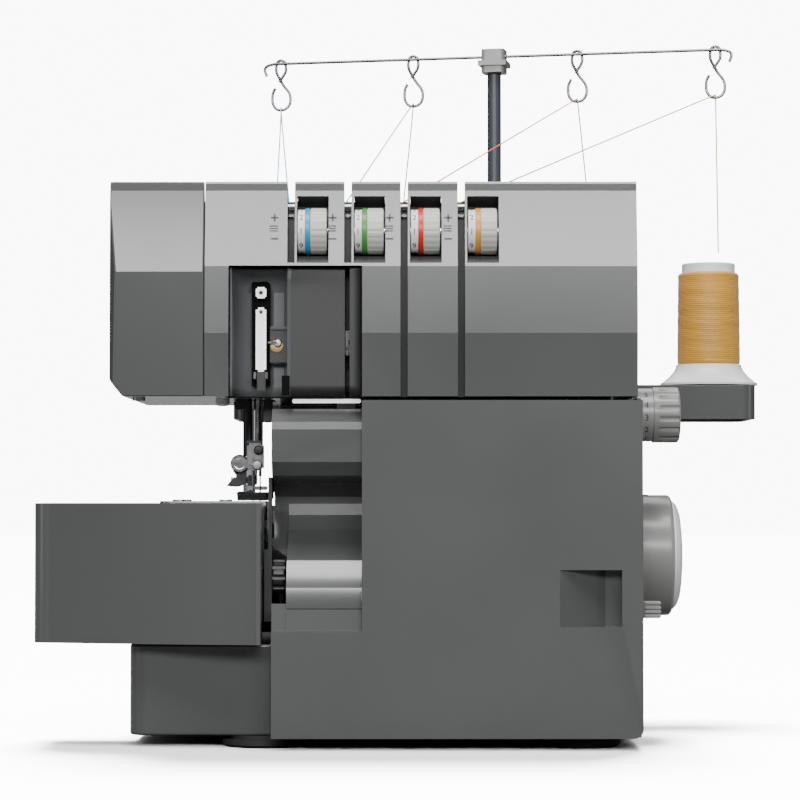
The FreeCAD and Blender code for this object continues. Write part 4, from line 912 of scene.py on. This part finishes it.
def woundSpool(ink):
    s = spoolSetup
    foot = spot(s["pins"][ink], s["deep"], s["baseRise"])
    upright = (0, 0, 1)
    flare = s["baseRadius"] / 1000
    base = [
        (0.0, 0.0255), (0.0, flare), (0.0012, flare), (0.0022, 0.0272), (0.0052, 0.0236),
        (0.0088, 0.0206), (0.0112, 0.0196), (0.0124, 0.0193), (0.0124, 0.006),
    ]
    skirt = turnedPiece("spool_base_" + ink, base, foot, upright, white, "machine", s["steps"])
    start = s["baseTall"] / 1000
    capTall = s["capTall"] / 1000
    end = start + s["bodyTall"] / 1000 - capTall
    body = [(start, 0.008)]
    for row in range(s["rows"] + 1):
        part = row / s["rows"]
        # ends rounded in, and each turn of thread a slight ridge
        shoulder = min(1.0, part / 0.03, (1 - part) / 0.03)
        radius = s["bodyRadius"] / 1000 - 0.0009 * (1 - shoulder) ** 2
        radius -= s["ridge"] * (row % 2) + s["ridge"] * (0.5 + 0.5 * math.sin(part * 37)) + 0.0006 * part
        body.append((start + (end - start) * part, radius))
    body.append((end, 0.008))

    def lap(turn, along):
        return 1 - 0.0035 * (0.5 + 0.5 * math.sin(3 * turn + along * 900)) ** 2

    winding = finishes["winding_" + ink]
    wound = turnedPiece("spool_winding_" + ink, body, foot, upright, winding, "machine", s["steps"], lap)
    rim = s["capRadius"] / 1000
    cap = [
        (end, 0.006), (end, 0.0156), (end + 0.0004, rim), (end + 0.0052, rim), (end + capTall, 0.0153),
        (end + capTall, 0.0048), (end + 0.003, 0.0042), (end + 0.003, 0.002),
    ]
    lid = turnedPiece("spool_cap_" + ink, cap, foot, upright, white, "machine", s["steps"])
    return skirt, wound


def windingFinish(ink, colour):
    # crossed diagonal bands of thread, the upper layer catching more light
    material, tree, shader = newMaterial("winding" + ink.capitalize())
    place = addNode(tree, "ShaderNodeTexCoord")
    bands = addNode(tree, "ShaderNodeTexWave", Scale=260.0, Distortion=1.2, Detail=2.0)
    bands.bands_direction = "Z"
    cross = addNode(tree, "ShaderNodeTexNoise", Scale=42.0, Detail=3.0)
    squeeze = addNode(tree, "ShaderNodeMapping")
    squeeze.inputs["Scale"].default_value = (0.6, 0.6, 5.0)
    tree.links.new(place.outputs["Object"], bands.inputs["Vector"])
    tree.links.new(place.outputs["Object"], squeeze.inputs["Vector"])
    tree.links.new(squeeze.outputs["Vector"], cross.inputs["Vector"])
    shade = tuple(c * 0.55 for c in colour)
    light = tuple(min(1, c * 1.2 + 0.02) for c in colour)
    base = mixColour(tree, bands.outputs["Fac"], shade, colour)
    tree.links.new(mixColour(tree, cross.outputs["Fac"], base, light), shader.inputs["Base Color"])
    shader.inputs["Roughness"].default_value = 0.5
    shader.inputs["Sheen Weight"].default_value = 0.25
    bumpFrom(tree, shader, bands.outputs["Fac"], 0.00008)
    return material


for ink, colour in threadInks.items():
    finishes["winding_" + ink] = windingFinish(ink, colour)
    skirt, wound = woundSpool(ink)
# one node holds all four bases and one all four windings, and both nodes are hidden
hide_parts("cone_bases")
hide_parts("thread_spools")
print("spools wound")


# handwheel: a plain rim and a pale domed face
wheelSetup = {
    "axisDeep": 95.0, "axisRise": 99.6, "start": 127.5,
    "radius": 33.2, "rimEnd": 21.4, "face": 27.2, "steps": 128,
}


def buildWheel():
    s = wheelSetup
    centre = spot(s["start"], s["axisDeep"], s["axisRise"])
    rim, end, face = s["radius"], s["rimEnd"], s["face"]
    profile = [
        (0.2, 8.0), (0.2, rim - 2.4), (0.5, rim - 1.5), (1.4, rim - 0.3), (2.4, rim), (end - 2.0, rim),
        (end - 0.8, rim - 0.3), (end, rim - 1.2), (end + 0.1, rim - 2.2), (end - 0.5, rim - 2.8),
        (end - 0.5, 9.0),
    ]
    dome = [
        (end - 0.6, rim - 3.0), (end + 1.2, rim - 3.3), (end + 3.2, rim - 5.4), (end + 4.6, rim - 9.0),
        (end + 5.4, rim - 15), (face - 0.2, rim - 22), (face - 0.2, 6.2), (face - 1.0, 5.4),
        (face - 1.0, 1.0),
    ]
    for name, outline, slot in (("wheel_rim", profile, "wheel_grey"), ("wheel_face", dome, "white_plastic")):
        metres = [(along / 1000, radius / 1000) for along, radius in outline]
        piece = turnedPiece(name, metres, centre, (1, 0, 0), finishes[slot], "drive", s["steps"])
    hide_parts("handwheel")
    markPlace = spot(s["start"] + 8, s["axisDeep"], s["axisRise"] + rim - 0.1)
    markProfile = [(0, 0.0016), (0.0003, 0.0016), (0.0004, 0.0012)]
    turnedPiece("wheel_mark", markProfile, markPlace, (0, 0, 1), digitInk, "drive", 20)


buildWheel()

# stitch length dial: a numbered band and a grip cut into flats
lengthSetup = {
    "deep": 60.0, "rise": 176.0, "start": 127.2, "radius": 15.05, "bandEnd": 9.0, "face": 23.6,
    "flats": 15, "flatDepth": 0.075,
    "figures": "12345", "figureHeight": 3.4, "figureSpread": 27, "figureStart": -62,
}


def buildLengthDial():
    s = lengthSetup
    centre = spot(s["start"], s["deep"], s["rise"])
    radius = s["radius"] / 1000
    start, end = s["bandEnd"] / 1000, s["face"] / 1000
    drum = radius - 0.0006
    grey = finishes["wheel_grey"]
    band = [(0, 0.004), (0, drum - 0.0006), (0.0006, drum), (start, drum)]
    bandPiece = turnedPiece("length_band", band, centre, (1, 0, 0), grey, "length_dial", 96)

    def flats(turn, along):
        cut = s["flatDepth"] if start + 0.0035 < along < end - 0.0009 else 0.0
        return 1 - cut * (0.5 + 0.5 * math.cos(turn * s["flats"])) ** 4

    grip = [
        (start, 0.004), (start, radius - 0.0003), (start + 0.0003, radius), (start + 0.0030, radius),
        (start + 0.0040, radius), (end - 0.0018, radius), (end - 0.0012, radius - 0.0001),
        (end - 0.0008, radius - 0.0003), (end - 0.0002, radius - 0.001), (end, radius - 0.002), (end, 0.002),
    ]
    handle = turnedPiece("length_grip", grip, centre, (1, 0, 0), grey, "length_dial", s["flats"] * 12, flats)
    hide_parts("length_dial")
    figuresRound(
        "length_figures", s["figures"], centre, centre.x + 0.0052, drum, s["figureHeight"] / 1000,
        "length_dial", math.radians(s["figureSpread"]), math.radians(s["figureStart"]),
    )


buildLengthDial()

# the lower sweep of the looper cover's scoop, laid over its chute
scoopSetup = {
    "line": [
        (41.2, 128.0), (40.6, 122.0), (36.4, 114.0), (29.4, 107.2), (20.5, 101.6), (13.6, 98.6), (13.2, 98.2),
        (4.5, 84.6), (4.3, 84.0), (4.15, 73.6), (4.6, 73.1), (4.1, 72.7), (3.4, 62.0),
    ],
    "span": (-59.3, -20.0), "behind": 1.0, "below": 0.3,
}
scoopBack = [
    (deep + scoopSetup["behind"], rise - scoopSetup["below"]) for deep, rise in reversed(scoopSetup["line"])
]
scoopLoop = scoopSetup["line"] + scoopBack
scoopEnds = [[spot(side, deep, rise) for deep, rise in scoopLoop] for side in scoopSetup["span"]]
scoopSweep = prismPiece("scoop_sweep", scoopEnds, finishes["cover_grey"], "front_cover", smooth=True)
scoopSweep.data.set_sharp_from_angle(angle=math.radians(18))

# needle clamp and its screws
silver = metalFinish("polishedSteel", (0.86, 0.86, 0.87), 0.16, scale=500.0, depth=0.000002)
blackened = finishes["blackened"]
clampBlocks = {
    "needle_clamp_block": ((-82.4, 50.8, 146.0), (-73.6, 65.0, 160.6), silver, 0.0012),
    "needle_clamp_step": ((-81.6, 49.9, 148.5), (-78.8, 51.2, 159.4), silver, 0.0005),
    "needle_clamp_cap": ((-83.0, 52.0, 160.0), (-74.2, 64.0, 162.0), blackened, 0.0006),
}
clampPieces = placeBlocks(clampBlocks, "needle_drive")
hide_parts("needle_clamp")
clampScrews = {
    "needle_clamp_screw": ((-76.8, 51.0, 148.8), finishes["machine_screws"]),
    "needle_clamp_screw_top": ((-76.0, 51.0, 156.8), blackened),
}
screwHead = [(0, 0.0026), (0.0008, 0.0026), (0.0013, 0.0021), (0.0014, 0.0004)]
for name, (place, finish) in clampScrews.items():
    turnedPiece(name, screwHead, spot(*place), (0, -1, 0), finish, "needle_drive", 28)

# foot holder, its ring and release lever, the foot's bright plate and shank
holderBlocks = {
    "holder_block": ((-89.6, 73.6, 139.4), (-82.6, 86.0, 154.0), blackened, 0.0012),
    "foot_plate_bright": ((-84.0, 68.0, 135.4), (-72.6, 86.0, 137.6), silver, 0.0005),
    "foot_shank": ((-83.2, 70.0, 137.4), (-78.0, 74.0, 143.6), blackened, 0.0008),
}
placeBlocks(holderBlocks, "presser")
ringProfile = [(0, 0.0050), (0.0020, 0.0050), (0.0026, 0.0044), (0.0026, 0.0030), (0.0016, 0.0028)]
turnedPiece("holder_ring", ringProfile, spot(-87.4, 73.8, 149.8), (0, -1, 0), silver, "presser", 36)
leverLine = [(-95.0, 137.6), (-91.5, 141.4), (-87.0, 143.4), (-83.0, 142.6), (-83.4, 138.6), (-89.0, 137.0)]
leverEnds = [[spot(side, deep, rise) for side, rise in leverLine] for deep in (74.0, 78.0)]
prismPiece("holder_release_lever", leverEnds, black, "presser", edge=0.0005)

# bushes over the needle bar and the dark of the well behind the loopers
frameBlocks = {
    "bar_bush_left": ((-89.4, 50.4, 178.6), (-81.2, 56.4, 184.0), black, 0.001),
    "bar_bush_right": ((-73.4, 50.4, 171.6), (-68.6, 56.4, 184.0), black, 0.001),
    "looper_well_shade": ((-86.0, 119.0, 56.0), (-60.0, 120.5, 127.0), windowShade, 0.0005),
}
placeBlocks(frameBlocks, "machine")
print("wheel, dials and needle parts fitted")
